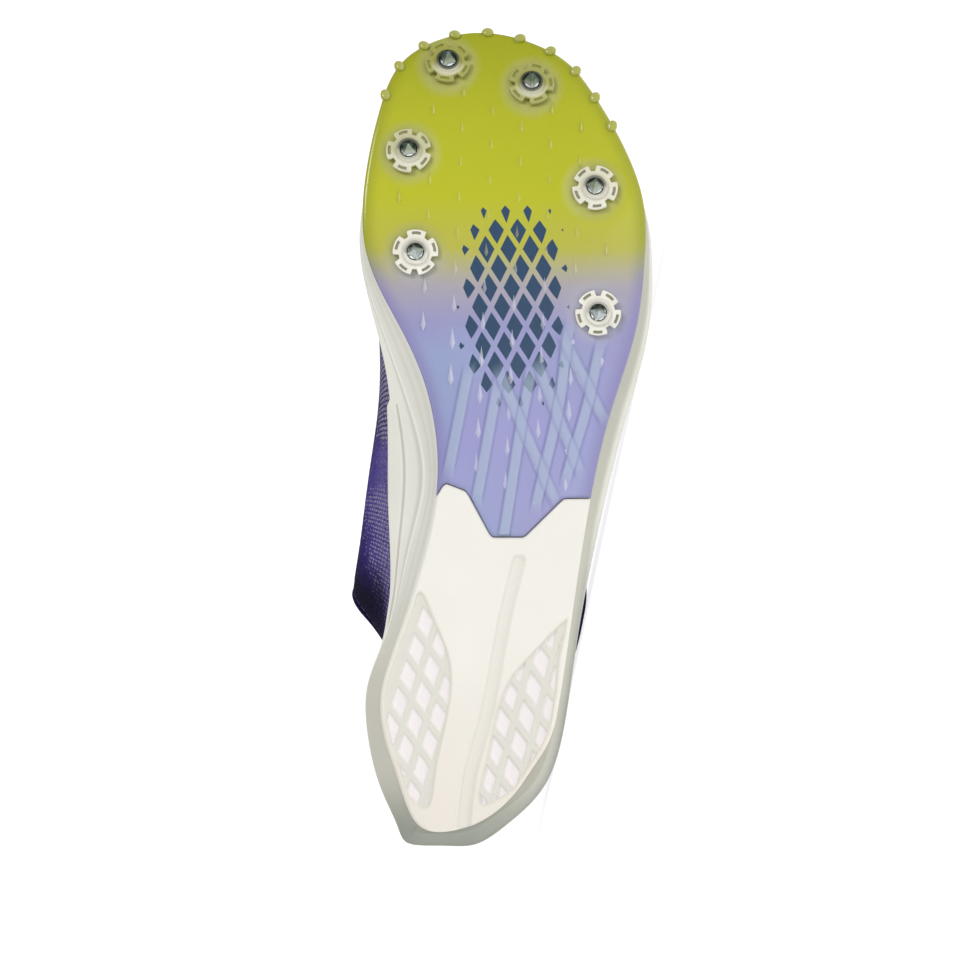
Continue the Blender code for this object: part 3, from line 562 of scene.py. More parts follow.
def new_mesh(name, points, faces, fields=None, loop_uv=None, flip=False):
    """A smooth mesh from points in the shoe's frame. It keeps them as the attribute place."""
    points = np.asarray(points, dtype=float)
    faces = np.asarray(faces)
    if flip:
        faces = faces[:, ::-1]
    mesh = bpy.data.meshes.new(name)
    mesh.from_pydata(in_frame(points, SHOE_TO_WORLD).tolist(), [], faces.tolist())
    place = mesh.attributes.new("place", "FLOAT_VECTOR", "POINT")
    place.data.foreach_set("vector", points.astype(np.float32).ravel())
    for field, values in (fields or {}).items():
        add_field(mesh, field, values)
    if loop_uv is not None:
        uv = loop_uv[:, ::-1] if flip else loop_uv
        mesh.uv_layers.new(name="wall").data.foreach_set("uv", uv.astype(np.float32).ravel())
    mesh.shade_smooth()
    return mesh


def grid_faces(rows, columns, closed_columns=False, closed_rows=False):
    r = np.arange(rows if closed_rows else rows - 1)[:, None]
    c = np.arange(columns if closed_columns else columns - 1)[None]
    after_r, after_c = (r + 1) % rows, (c + 1) % columns
    corners = [r * columns + c, r * columns + after_c]
    corners += [after_r * columns + after_c, after_r * columns + c]
    return np.stack(np.broadcast_arrays(*corners), axis=-1).reshape(-1, 4)


def lofted(name, stack, fields=None, uv=None, closed_rows=False, flip=False):
    """A mesh through closed rings. uv gives each point's place along and up the wall."""
    stack = np.array(stack)
    rows, columns = stack.shape[:2]
    faces = grid_faces(rows, columns, closed_columns=True, closed_rows=closed_rows)
    loop_uv = None
    if uv is not None:
        loop_uv = uv.reshape(-1, 2)[faces]
        length = uv[..., 0].max() * (1 + 1 / columns)
        wrapped = loop_uv[..., 0] < loop_uv[..., 0].max(axis=1, keepdims=True) - length / 2
        loop_uv[..., 0] += wrapped * length
    return new_mesh(name, stack.reshape(-1, 3), faces, fields, loop_uv, flip)


def densify(rings, counts):
    """Rings with more between them: counts says in how many steps each is reached."""
    made = [rings[0]]
    for before, after, count in zip(rings, rings[1:], counts):
        made += [before + (after - before) * (k + 1) / count for k in range(count)]
    return np.array(made)


def soften(stack, passes):
    """Rounds the corners of a stack of rings."""
    for _ in range(passes):
        stack[1:-1] = (stack[:-2] + 2 * stack[1:-1] + stack[2:]) / 4
    return stack


def linked(name, data):
    made = bpy.data.objects.new(name, data)
    bpy.context.scene.collection.objects.link(made)
    return made


def piece(name, mesh, surface, *nodes, slot):
    made = linked(name, mesh)
    mesh.materials.append(surface)
    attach(made, "root")
    if nodes:
        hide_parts(*nodes)
    return made


def merged(meshes):
    """One mesh out of several, with their attributes."""
    whole = bmesh.new()
    for mesh in meshes:
        whole.from_mesh(mesh)
    made = bpy.data.meshes.new(meshes[0].name)
    whole.to_mesh(made)
    whole.free()
    return made


# ---- Materials ----


class Value:
    """An output of one of a surface's nodes, on which plain arithmetic works."""

    def __init__(self, surface, socket):
        self.surface = surface
        self.socket = socket

    def __add__(self, other):
        return self.surface.math("ADD", self, other)

    def __sub__(self, other):
        return self.surface.math("SUBTRACT", self, other)

    def __mul__(self, other):
        return self.surface.math("MULTIPLY", self, other)

    def __truediv__(self, other):
        return self.surface.math("DIVIDE", self, other)


def colour(shade):
    """Linear colour of a screen colour from 0 to 255. A Value stays as it is."""
    if isinstance(shade, Value):
        return shade
    linear = []
    for number in shade:
        share = number / 255
        linear.append(share / 12.92 if share <= 0.04045 else ((share + 0.055) / 1.055) ** 2.4)
    return (*linear, 1.0)


class Surface:
    """A material whose nodes are added one call at a time."""

    def __init__(self, name, roughness, metallic=0.0):
        self.material = bpy.data.materials.new(name)
        self.material.use_nodes = True
        self.tree = self.material.node_tree
        self.shader = self.tree.nodes["Principled BSDF"]
        self.set({"Roughness": roughness, "Metallic": metallic})

    def feed(self, socket, value):
        if isinstance(value, Value):
            self.tree.links.new(value.socket, socket)
        else:
            socket.default_value = value

    def node(self, kind, inputs=None, **settings):
        made = self.tree.nodes.new(kind)
        for name, value in settings.items():
            setattr(made, name, value)
        for name, value in (inputs or {}).items():
            self.feed(made.inputs[name], value)
        return made

    def value(self, kind, output, inputs=None, **settings):
        """One output of a new node."""
        return Value(self, self.node(kind, inputs, **settings).outputs[output])

    def math(self, operation, *values):
        return self.value("ShaderNodeMath", 0, dict(enumerate(values)), operation=operation)

    def field(self, name):
        return self.value("ShaderNodeAttribute", "Fac", attribute_name=name)

    def place(self):
        return self.value("ShaderNodeAttribute", "Vector", attribute_name="place")

    def parts(self, vector):
        outputs = self.node("ShaderNodeSeparateXYZ", {0: vector}).outputs
        return [Value(self, output) for output in outputs]

    def wall(self):
        """The place along and up the wall."""
        return self.parts(self.value("ShaderNodeUVMap", "UV", uv_map="wall"))[:2]

    def noise(self, vector, scale, detail=3.0, stretch=(1.0, 1.0, 1.0)):
        moved = self.value("ShaderNodeMapping", 0, {"Vector": vector, "Scale": stretch})
        inputs = {"Vector": moved, "Scale": scale, "Detail": detail}
        return self.value("ShaderNodeTexNoise", "Fac", inputs)

    def ramp(self, value, stops, interpolation="EASE"):
        node = self.node("ShaderNodeValToRGB", {"Fac": value})
        node.color_ramp.interpolation = interpolation
        elements = node.color_ramp.elements
        while len(elements) < len(stops):
            elements.new(0.5)
        for element, (position, shade) in zip(elements, stops):
            element.position = position
            element.color = colour(shade)
        return Value(self, node.outputs["Color"])

    def mask(self, value, start, end):
        """0 at start and 1 at end, smooth between."""
        inputs = {"Value": value, "From Min": start, "From Max": end}
        settings = {"interpolation_type": "SMOOTHSTEP"}
        return self.value("ShaderNodeMapRange", "Result", inputs, **settings)

    def mix(self, share, first, second):
        """The first shade where the share is 0, and the second where it is 1."""
        inputs = {0: share, 6: colour(first), 7: colour(second)}
        return self.value("ShaderNodeMix", 2, inputs, data_type="RGBA")

    def layered(self, ground, *layers):
        """The ground under layers, each a field of the mesh, its share and its shade."""
        for name, share, shade in layers:
            ground = self.mix(self.field(name) * share, ground, shade)
        return ground

    def bump(self, height, distance):
        inputs = {"Height": height, "Distance": distance, "Strength": 1.0}
        self.set({"Normal": self.value("ShaderNodeBump", "Normal", inputs)})

    def base(self, value):
        self.set({"Base Color": value})

    def set(self, inputs):
        for name, value in inputs.items():
            self.feed(self.shader.inputs[name], value)


def foam_surface():
    """Cream foam with painted shade: greyer on the bevel round the sole and darkest at the heel's
    back.
    """
    made = Surface("midsole_foam", 0.55)
    place = made.place()
    x, y, _ = made.parts(place)
    patches = made.noise(place, 60.0, 4.0)
    side = made.mix(patches, (222, 221, 211), (232, 231, 222))
    # Painted shade: the bevel and the heel's back get greyer copies of the same foam.
    bevel = made.mix(patches, (182, 182, 168), (196, 195, 183))
    back = made.mix(patches, (142, 146, 136), (158, 161, 149))
    bevel = made.mix(made.mask(x, 0.026, 0.002), bevel, back)
    # Painted highlight: the bevel's painted shade is lighter on the inner side of the heel.
    inner = made.mask(y, -0.020, -0.034) * made.mask(x, 0.012, 0.030)
    bevel = made.mix(inner, bevel, (203, 201, 188))
    # Over the foam lie painted shade bands (shade, outer) and a painted highlight (ridge).
    whole = made.layered(
        made.mix(made.field("bevel_shade"), side, bevel),
        ("shade", 0.55, (176, 174, 158)),
        ("ridge", 0.8, (246, 245, 240)),
        ("outer", 0.6, (150, 152, 150)),
    )
    # The dark line is the seam of the wing's strip, and a thin line of painted shade high on the
    # foam's side.
    seam = made.mask(made.field("line"), 0.50, 0.85)
    made.base(made.mix(seam * 0.38, whole, (128, 124, 110)))
    made.bump(made.noise(place, 2600.0, 2.0) + seam * -3.0, 0.00006)
    made.set({"Subsurface Weight": 0.08, "Subsurface Radius": (0.003, 0.003, 0.002)})
    return made.material


def pad_surface():
    """Cream rubber. The openings of its lattices show a pale woven ground."""
    made = Surface("pad_rubber", 0.5)
    place = made.place()
    x, y, _ = made.parts(place)
    plain = made.mix(made.noise(place, 45.0, 4.0), (231, 228, 219), (237, 235, 228))
    plain = made.mix(made.mask(x, 0.07, 0.02) * 0.5, plain, (228, 218, 207))
    fine = made.math("SINE", y * (2 * math.pi / WEAVE_PITCH))
    coarse = made.math("SINE", x * (math.pi / WEAVE_PITCH))
    weave = fine * coarse
    whole = made.layered(
        plain,
        ("rib", 1.0, (219, 217, 207)),
        ("tile", 1.0, made.mix(made.mask(weave, -1.0, 1.0), (236, 229, 229), (245, 240, 240))),
        ("groove", 1.0, (222, 220, 210)),
        ("border", 0.4, (218, 211, 192)),
    )
    made.base(whole)
    made.bump(made.noise(place, 1800.0, 2.0) + weave * made.field("tile"), 0.00005)
    made.set({"Subsurface Weight": 0.06, "Subsurface Radius": (0.002, 0.002, 0.0015)})
    return made.material


def plate_surface():
    """Moulded plastic that fades from lime at the toe to lavender at the waist."""
    made = Surface("plate_plastic", 0.24)
    place = made.place()
    x, y, _ = made.parts(place)
    along = (x + made.noise(place, 25.0) * 0.004) / LENGTH
    base = made.ramp(
        along,
        (
            (0.400, (160, 160, 204)),
            (0.520, (154, 154, 203)),
            (0.645, (150, 149, 192)),
            (0.690, (168, 162, 170)),
            (0.735, (181, 179, 70)),
            (0.800, (182, 185, 16)),
            (0.900, (174, 178, 12)),
            (1.000, (156, 160, 2)),
        ),
        "LINEAR",
    )
    lime = made.mask(along, 0.68, 0.75)
    patches = made.mask(made.noise(place, 34.0, 2.0, (0.5, 1.0, 1.0)), 0.42, 0.66)
    waist = patches * made.mask(along, 0.66, 0.60)
    base = made.mix(waist * 0.8, base, (148, 162, 200))
    # Painted shade along the plate's edge beside the foam: darker lavender, olive on the lime.
    base = made.layered(base, ("rim", 0.75, made.mix(lime, (134, 128, 178), (146, 150, 6))))
    base = made.mix(diamond_field(made, x, y), base, (34, 66, 98))
    base = made.layered(
        base,
        ("rib", 0.55, (168, 184, 202)),
        ("rib_edge", 0.42, (116, 118, 176)),
        # Painted shadow of each flange, grey in the dimple round it.
        ("dimple_shade", 0.7, made.mix(lime, (176, 176, 190), (176, 176, 110))),
        # Teeth: paler translucent plastic with a painted glint.
        ("tooth", 0.34, made.mix(lime, (226, 228, 238), (230, 230, 150))),
        ("stud", 0.6, (172, 172, 112)),
    )
    made.base(base)
    made.bump(made.noise(place, 320.0, 3.0, (0.25, 1.0, 1.0)), 0.00005)
    made.set({"Coat Weight": 0.35, "Coat Roughness": 0.08})
    made.set({"Subsurface Weight": 0.15, "Subsurface Radius": (0.003, 0.003, 0.001)})
    return made.material


def diamond_field(made, x, y):
    """A plain field of small staggered diamonds that shrink toward the field's border."""
    down = x / DIAMOND_LENGTH
    across = (y + x * DIAMOND_SLANT) / DIAMOND_WIDTH
    away = [made.math("FRACT", value) - 0.5 for value in (down + across, down - across)]
    inside = made.math("MAXIMUM", *[made.math("ABSOLUTE", value) for value in away])
    ways = ((x, DIAMONDS_ALONG, DIAMONDS_LONG), (y, DIAMONDS_OUT, DIAMONDS_WIDE))
    reach = []
    for value, middle, half in ways:
        gone = made.math("ABSOLUTE", (value - middle) / half)
        reach.append(made.math("POWER", gone, 3.0))
    far = made.math("SQRT", reach[0] + reach[1])
    size = made.mask(far, 1.05, 0.45) * DIAMOND_SHARE
    return made.mask(size - (inside + 0.04), -0.012, 0.012)


def knit_height(made, u, v, pitch, rise):
    """Height of a plain knit: rows of V-shaped loops. Returns it with each loop's own number."""
    column = u / pitch
    bow = made.math("ABSOLUTE", made.math("SINE", column * math.pi))
    row = v / rise + bow * 0.6
    wave = (made.math("COSINE", row * (2 * math.pi)) + 1.0) * 0.5
    floors = {0: made.math("FLOOR", column), 1: made.math("FLOOR", row)}
    cell = made.value("ShaderNodeCombineXYZ", 0, floors)
    number = made.value("ShaderNodeTexWhiteNoise", "Value", {"Vector": cell})
    return made.math("POWER", bow, 0.5) * wave, number


def upper_surface():
    """Knit with pale dotted rows low on the wall. It darkens to navy toward the collar."""
    made = Surface("upper_knit", 0.85)
    place = made.place()
    x = made.parts(place)[0]
    u, v = made.wall()
    height, number = knit_height(made, u, v, LOOP_WIDTH, LOOP_HEIGHT)
    share = made.field("rise")
    wander = share + (made.noise(place, 45.0, 2.0) - 0.5) * 0.22
    ground = made.ramp(
        wander,
        (
            (0.00, (158, 148, 212)),
            (0.15, (136, 124, 208)),
            (0.30, (106, 90, 190)),
            (0.46, (64, 48, 142)),
            (0.62, (34, 22, 88)),
            (1.00, (20, 12, 58)),
        ),
    )
    # The dotted rows slant more toward the heel, and stop for a plain stretch at the waist
    slope = made.mask(x, 0.135, 0.085) * 0.25 + 0.22
    slanted = (u + v * slope) / STITCH_PITCH
    row = made.mask(made.math("ABSOLUTE", made.math("FRACT", slanted) - 0.5), 0.34, 0.18)
    dot = (v + u * 0.3) / STITCH_PITCH + made.math("FLOOR", slanted) * 0.5
    row = row * made.mask(made.math("FRACT", dot), 0.72, 0.62)
    plain = made.mask(made.math("ABSOLUTE", x - 0.131), 0.005, 0.013)
    chance = row * plain * (made.mask(wander, 0.46, 0.12) * 1.7)
    drawn = made.mask(chance - number, -0.03, 0.03)
    ground = made.mix(made.mask(x, 0.135, 0.146) * 0.5, ground, (66, 54, 92))
    thread = made.mix(made.mask(x, 0.135, 0.120), (214, 208, 228), (196, 188, 224))
    body = made.mix(drawn, ground, thread)
    body = made.mix(made.mask(number, 0.90, 0.92) * 0.55, body, (22, 16, 48))
    # Painted shade in the dips between the loops.
    body = made.mix(made.mask(height, 0.35, 0.0), body, (20, 14, 46))
    # Darker toward the collar's low corner: partly dark navy yarn, partly painted shade.
    corner = made.mask(x, 0.102, 0.084) * made.mask(share, 0.12, 0.32)
    whole = made.layered(
        made.mix(corner * 0.9, body, (6, 4, 30)),
        ("band", 1.0, (24, 15, 62)),
        ("binding", 1.0, (66, 54, 126)),
        ("lining", 1.0, (38, 32, 74)),
    )
    dash = made.math("FRACT", u / THREAD_PITCH)
    sewn = made.field("sewn") * made.mask(dash, 0.72, 0.66)
    made.base(made.mix(made.mask(sewn, 0.3, 0.6), whole, (92, 80, 158)))
    made.bump(height + sewn * 1.5, 0.00035)
    made.set({"Sheen Weight": 0.02, "Specular IOR Level": 0.05})
    return made.material


def cloth_surface(name, ground, light, pitch, rise, depth):
    """A plain knit or weave on the attribute place's own axes."""
    made = Surface(name, 0.9)
    u, v, w = made.parts(made.place())
    height, number = knit_height(made, v + w, u, pitch, rise)
    body = made.mix(number, ground, light)
    # Painted shade, near black, in the dips between the loops.
    made.base(made.mix(made.mask(height, 0.4, 0.0), body, (0, 0, 0)))
    made.bump(height, depth)
    made.set({"Sheen Weight": 0.05, "Specular IOR Level": 0.15})
    return made.material


def lace_surface():
    """A flat braid: slanted strands that meet in a V along the middle."""
    made = Surface("lace_cloth", 0.85)
    u, v = made.wall()
    half = made.math("ABSOLUTE", v)
    waves = []
    for value in (u + half, half):
        strand = made.math("FRACT", value / BRAID_PITCH)
        waves.append(made.math("SINE", strand * math.pi))
    lift = made.math("SQRT", waves[0] * waves[1])
    body = made.mix(made.noise(made.place(), 500.0), (158, 150, 208), (192, 186, 228))
    # Painted shade between the strands.
    made.base(made.mix(made.mask(lift, 0.6, 0.1), body, (84, 74, 144)))
    made.bump(lift, 0.0004)
    made.set({"Sheen Weight": 0.08, "Specular IOR Level": 0.2})
    return made.material


def socket_surface():
    """White plastic, limed near the toe, with the plate's tint and painted shade that each socket's
    fields give.
    """
    made = Surface("socket_plastic", 0.35)
    place = made.place()
    x = made.parts(place)[0]
    patches = made.noise(place, 300.0)
    white = made.mix(patches, (226, 223, 209), (240, 238, 229))
    whole = made.layered(
        made.mix(made.mask(x, 0.20, 0.262) * 0.4, white, (198, 194, 138)),
        # Painted shade in the slots, at the hub's foot and in the bore.
        ("dark", 1.0, (142, 140, 120)),
        ("veil", 1.0, (146, 148, 44)),
        # Painted shade on the hub's toe side, and round the whole hub of the front ones.
        ("hub_shade", 1.0, (26, 40, 36)),
    )
    made.base(whole)
    made.bump(patches, 0.00003)
    return made.material


def steel_surface():
    """Steel with painted light and shade: dark on the faces that turn toward the toe, bright on
    those that turn toward the heel.
    """
    made = Surface("pin_steel", 0.2, 0.5)
    streaks = made.noise(made.place(), 900.0, 4.0, (1.0, 6.0, 1.0))
    inputs = {0: made.value("ShaderNodeNewGeometry", "Normal"), 1: TOE_WAY}
    toward_toe = made.value("ShaderNodeVectorMath", "Value", inputs, operation="DOT_PRODUCT")
    # Painted reflection: each face's colour follows how far it turns toward the toe.
    shade = made.ramp(
        toward_toe * 0.5 + 0.5,
        (
            (0.08, (238, 248, 250)),
            (0.24, (150, 170, 166)),
            (0.50, (70, 88, 82)),
            (0.80, (36, 46, 42)),
        ),
    )
    shade = made.mix(streaks * 0.1, shade, (150, 164, 160))
    # Painted shade darkens the front pins, and a painted highlight whitens their heel side below
    # the shoulder.
    made.base(made.layered(shade, ("dim", 1.0, (30, 40, 32)), ("ring", 1.0, (232, 238, 238))))
    made.bump(streaks, 0.00002)
    made.set({"Specular IOR Level": 0.2, "Specular Tint": (0.50, 0.56, 0.54, 1.0)})
    return made.material


# ---- Pieces ----


def places_round():
    return np.linspace(0, ROWS, ROWS * ROWS_SPLIT, endpoint=False)


def make_midsole(surface):
    at = places_round()
    wall = Wall(at)
    edge, out, place = edge_of_sole(at)
    x = edge[:, 0]
    lip = foam_lip(x)
    base = base_ring(at) - out * lip
    widest = edge - out * lip
    wing_side = step(-edge[:, 1], 0.0, 0.02)
    wing = hump(x, WING_MIDDLE, WING_SPREAD) * wing_side
    crease = CREASE + (WING_CREASE - CREASE) * wing
    widest_rise = WIDEST * (rim_height(x) - under_foam(x)) + SLOPE * place.base_in
    foot = under_foam(base[:, 0], 1.0)
    ridge = base + (widest - base) * crease[:, None]
    ridge = with_height(ridge, foot + widest_rise * crease**CREASE_POWER)
    widest = with_height(widest, foot + widest_rise)
    rim_in, rim_way = wall.ring(0.0)
    floor_in, floor_way = wall.ring(wall.below(0))
    rim_out = rim_in + out * RIM
    rim_out[:, 2] -= RIM_DROP
    rim_in = rim_in + rim_way * GAP
    corner = floor_in + floor_way * GAP
    under = densify(sheet_rings(base, (0.0, 0.5, 1.0), under_foam), (4, 4))
    outline = [with_height(base, foot), ridge, widest, rim_out, rim_in, corner]
    side = soften(densify(outline, (BEVEL_STEPS, FLARE_STEPS, *RIM_STEPS)), 3)
    seam = BEVEL_STEPS + SEAM_SHARE * FLARE_STEPS
    clip = wing_side * step(x, *CLIP_FRONT) * step(x, *CLIP_BACK)
    for k in range(len(side)):
        raised = step(k, seam - 0.5, seam + 0.5) * step(k, len(side) - 12, seam + 14)
        side[k] += out * (CLIP_RISE * clip * raised)[:, None]
    middle = sheet_rings(corner, (FLOOR_SHARE, 0.0), lambda x, s: rim_height(x) - CUP_DEPTH)
    stack = np.concatenate([under[:-1], side, np.array(middle)])
    bevel_shade, line, shade, painted_ridge_highlight, outer_shade = np.zeros((5, *stack.shape[:2]))
    # Painted shade: darker toward the outer edge of the bevel on the heel's outer side.
    lateral = step(edge[:, 1], 0.002, 0.014) * step(x, 0.130, 0.070) * step(x, 0.004, 0.020)
    pale = wing_side * step(x, 0.055, 0.100)
    last = BEVEL_STEPS + 1 + 0.9 * FLARE_STEPS * (1 - step(x, 0.040, 0.110))
    # A thin line of painted shade high on the foam's side, where it turns toward the upper.
    waist = BEVEL_STEPS + FLARE_STEPS + 12
    for k, row in enumerate(range(len(under) - 1, len(under) - 1 + len(side))):
        # Painted shade on the bevel and the underside, fading out up the side and mostly kept off
        # the pale inner wing.
        bevel_shade[row] = step(k, last, last - 6) * (1 - 0.9 * pale)
        # Painted shade: soft grey bands on the inner wing, beside its ridge and near the plate.
        shade[row] = pale * (
            0.9 * bell(k, BEVEL_STEPS + 2.0, 1.6)
            + 0.5 * bell(k, 0.55 * BEVEL_STEPS, 0.7)
            + 0.4 * bell(k, 2.5, 1.5)
        )
        # Painted highlight: a light line along the wing's ridge and along the plate's edge.
        painted_ridge_highlight[row] = pale * (bell(k, BEVEL_STEPS, 0.8) + 0.8 * bell(k, 0, 0.8))
        outer_shade[row] = lateral * step(k, 3, BEVEL_STEPS + 3)
        line[row] = np.maximum(clip * max(1 - abs(k - seam), 0), max(1 - abs(k - waist), 0))
    bevel_shade[: len(under) - 1] = 1.0
    fields = {"bevel_shade": bevel_shade, "line": line, "shade": shade}
    fields |= {"ridge": painted_ridge_highlight, "outer": outer_shade}
    mesh = lofted("midsole_foam", stack, fields, flip=True)
    made = piece("midsole_foam", mesh, surface, "midsole", slot="foam")


def make_insole(surface):
    wall = Wall(places_round())
    low, low_way = wall.ring(wall.below(INSOLE_GAP))
    low = low - low_way * (WALL + GAP)
    top = low + np.array([0, 0, INSOLE])
    floor = INSOLE_GAP - CUP_DEPTH
    under = sheet_rings(low, (0.0, 1.0), lambda x, s: rim_height(x) + floor)
    over = sheet_rings(top, (0.8, 0.5, 0.0), lambda x, s: rim_height(x) + floor + INSOLE)
    stack = densify(under + [top] + over, (4, 5, 5, 5, 5))
    mesh = lofted("footbed", soften(stack, 2), flip=True)
    made = piece("footbed", mesh, surface, "insole", slot="insole_cloth")


def make_upper(surface):
    wall = Wall(places_round())
    full = wall.length
    body = full - BAND_WIDTH
    half = (WALL + BAND) / 2
    rings, heights, band, lining = [], [], [], []

    def add(distance, offset, is_band, is_lining):
        points, way = wall.ring(distance)
        rings.append(points + way * offset)
        heights.append(distance + 0 * full)
        band.append([is_band])
        lining.append([is_lining])

    bottom = wall.below(GAP)
    add(bottom, 0.0, 0, 0)
    for share in np.linspace(0, 0.93, 24):
        add((body - 0.0036) * share, 0.0, 0, 0)
    for before in np.linspace(0.0032, 0.0, 9):
        add(body - before, 0.0, 0, 0)
    for along, offset in ((0.0003, 0.35), (0.0006, 0.8), (0.0011, 1.0)):
        add(body + along, offset * BAND, 1, 0)
    for share in np.linspace(0.15, 0.85, 7):
        add(body + BAND_WIDTH * share, BAND, 1, 0)
    for turn in np.linspace(0, math.pi, 9):
        distance = full - half * (1 - math.sin(turn))
        add(distance, (BAND - WALL) / 2 + half * math.cos(turn), 2, turn > math.pi / 2)
    for share in np.linspace(0.94, 0, 18):
        add(full * share, -WALL, 0, 1)
    add(bottom, -WALL, 0, 1)
    heights, band, lining = np.array(heights), np.array(band), np.array(lining)
    around = running_length(rings[10])
    uv = np.stack([np.broadcast_to(around, heights.shape), heights], axis=-1)
    whole = np.ones_like(heights)
    fields = {
        "sewn": bell(heights, body - THREAD_OFFSET, 0.00045) * (1 - lining),
        "rise": heights / full,
        "band": whole * (band >= 1),
        "binding": whole * (band == 2),
        "lining": whole * lining,
    }
    mesh = lofted("upper_shell", rings, fields, uv, closed_rows=True, flip=True)
    punch_eyelets(piece("upper_shell", mesh, surface, "upper", slot="knit"))


def rows_at_edge(along, side):
    """Where the upper's edge stands at each distance from the heel, in rows of PLACES."""
    rows = np.linspace(THROAT_TOP_ROW - 0.6, TOE_ROW - 1.0, 80)
    if side < 0:
        rows = ROWS - rows
    return np.interp(along, edge_of_sole(rows)[2].edge_along, rows)


def eyelet_places():
    along = np.linspace(EYELET_FIRST, EYELET_LAST, EYELETS) * LENGTH
    found = []
    for side in (1, -1):
        wall = Wall(rows_at_edge(along, side))
        points, ways = wall.ring(wall.length - EYELET_IN)
        found += list(zip(points, ways))
    return found


def eyelet_frame(point, way):
    turn = Vector(way).to_track_quat("Z", "Y").to_matrix().to_4x4()
    return Matrix.Translation(Vector(point)) @ turn


def punch_eyelets(shell):
    cutters = bmesh.new()
    for point, way in eyelet_places():
        bmesh.ops.create_cone(
            cutters,
            cap_ends=True,
            segments=32,
            radius1=EYELET_RADIUS,
            radius2=EYELET_RADIUS,
            depth=6 * WALL,
            matrix=SHOE_TO_WORLD @ eyelet_frame(point, way),
        )
    mesh = bpy.data.meshes.new("punches")
    cutters.to_mesh(mesh)
    cutters.free()
    punches = linked("punches", mesh)
    boolean = shell.modifiers.new("eyelets", "BOOLEAN")
    boolean.operation = "DIFFERENCE"
    boolean.solver = "EXACT"
    boolean.object = punches
    graph = bpy.context.evaluated_depsgraph_get()
    cut = bpy.data.meshes.new_from_object(shell.evaluated_get(graph))
    shell.modifiers.clear()
    shell.data = cut
    bpy.data.objects.remove(punches)


def make_eyelet_rings(surface):
    """A sewn ring of thread round each eyelet."""
    meshes = []
    around, tube = circle(40), circle(8)
    faces = grid_faces(len(around), len(tube), closed_columns=True, closed_rows=True)
    radius = EYELET_RADIUS + 0.0006 + 0.0006 * np.cos(tube)[None]
    radius = radius + 0.00008 * np.cos(20 * around)[:, None]
    x = radius * np.cos(around)[:, None]
    y = radius * np.sin(around)[:, None]
    z = 0.0004 * np.sin(tube)[None] + 0 * x
    flat = np.stack([x, y, z], axis=-1).reshape(-1, 3)
    for point, way in eyelet_places():
        points = in_frame(flat, eyelet_frame(point + way * BAND, way))
        meshes.append(new_mesh("eyelet_rings", points, faces))
    piece("eyelet_rings", merged(meshes), surface, slot="knit")


def throat_section(row):
    wall = Wall(np.array([row, row, ROWS - row, ROWS - row], dtype=float))
    inset = np.array([TONGUE_TUCK, EDGE_INSET, EDGE_INSET, TONGUE_TUCK])
    points, ways = wall.ring(wall.length - inset)
    middle = (points[1] + points[2]) / 2
    width = np.linalg.norm(points[1] - points[2])
    way = unit(ways[1] + ways[2])
    crown = middle + way * width * TONGUE_ARCH
    front = (points[0] + points[3]) / 2
    share = min(max((row - TOE_ROW + CROWN_FADE_ROWS) / CROWN_FADE_SPAN, 0), 1)
    crown = crown + (front - crown) * share * share * (3 - 2 * share)
    points = np.array([points[0], points[1], crown, points[2], points[3]])
    return points, np.array([ways[0], ways[1], way, ways[2], ways[3]])


def make_tongue(surface):
    across = 33
    side = np.linspace(-1, 1, across)
    faces = []
    for row in np.linspace(THROAT_TOP_ROW, TOE_ROW - 0.667, 60):
        points, ways = throat_section(row)
        faces.append((open_spline(points, across), unit(open_spline(ways, across))))
    first, first_ways = faces[0]
    centre = first.mean(axis=0)
    heading = unit(centre - faces[6][0].mean(axis=0))
    rounding = 1 - TONGUE_ROUND * side[:, None] ** 2
    for share in np.linspace(0.1, 1.0, 12):
        narrow = np.interp(share, (0.0, 0.45, 0.80, 1.00), (1.0, 0.97, 0.88, 0.70))
        moved = first + heading * TONGUE_RISE * share * rounding
        shrink = (moved - centre) * np.array([0, narrow - 1, 0])
        faces.insert(0, (moved + shrink, first_ways))
    thick = TONGUE / 2 * np.sqrt(np.maximum(1 - np.abs(side) ** 8, 0))
    rings = []
    for k, (points, ways) in enumerate(faces):
        end = min(1.0, math.sqrt((k + 0.2) / 3), math.sqrt((len(faces) - 0.8 - k) / 3))
        middle = points - ways * (WALL + TONGUE_GAP + TONGUE / 2)
        offset = ways * (thick * end)[:, None]
        rings.append(np.vstack([middle + offset, (middle - offset)[::-1]]))
    mesh = lofted("tongue_pad", rings)
    made = piece("tongue_pad", mesh, surface, "tongue", slot="tongue_cloth")


def lace_path(along_start, along_end, side, lift):
    """The middle line, the upward way and the share of the width of one bar of the lace."""
    base = BAND + LACE_GAP + LACE / 2
    shift = (along_end - along_start) * LACE_EDGE_SHARE
    ends = ((along_start, side), (along_end, -side))
    edges = ((along_start + shift, side), (along_end - shift, -side))
    insets = 2 * (EYELET_IN,) + 2 * (LACE_EDGE_INSET,)
    points, ways = [], []
    for (along, way_side), inset in zip(ends + edges, insets):
        wall = Wall(rows_at_edge(np.array([along]), way_side))
        point, way = wall.ring(wall.length - inset)
        points.append(point[0])
        ways.append(way[0])
    row = rows_at_edge(np.array([(along_start + along_end) / 2]), 1)[0]
    section, section_ways = throat_section(row)
    halves = []
    for end, way, over, over_way in zip(points, ways, points[2:], ways[2:]):
        heading = unit(over - end)
        line = [end - way * 2.4 * WALL, end - way * 0.5 * WALL]
        line += [end + way * base * 0.9 + heading * 0.0012, over + over_way * (base + lift * 0.5)]
        halves.append((line, [-heading, way - heading, way, over_way]))
    (line, ups), (last_line, last_ups) = halves
    line = line + [section[2] + section_ways[2] * (base + lift)] + last_line[::-1]
    ups = ups + [section_ways[2]] + last_ups[::-1]
    return np.array(line), np.array(ups), np.array(LACE_WIDTHS)


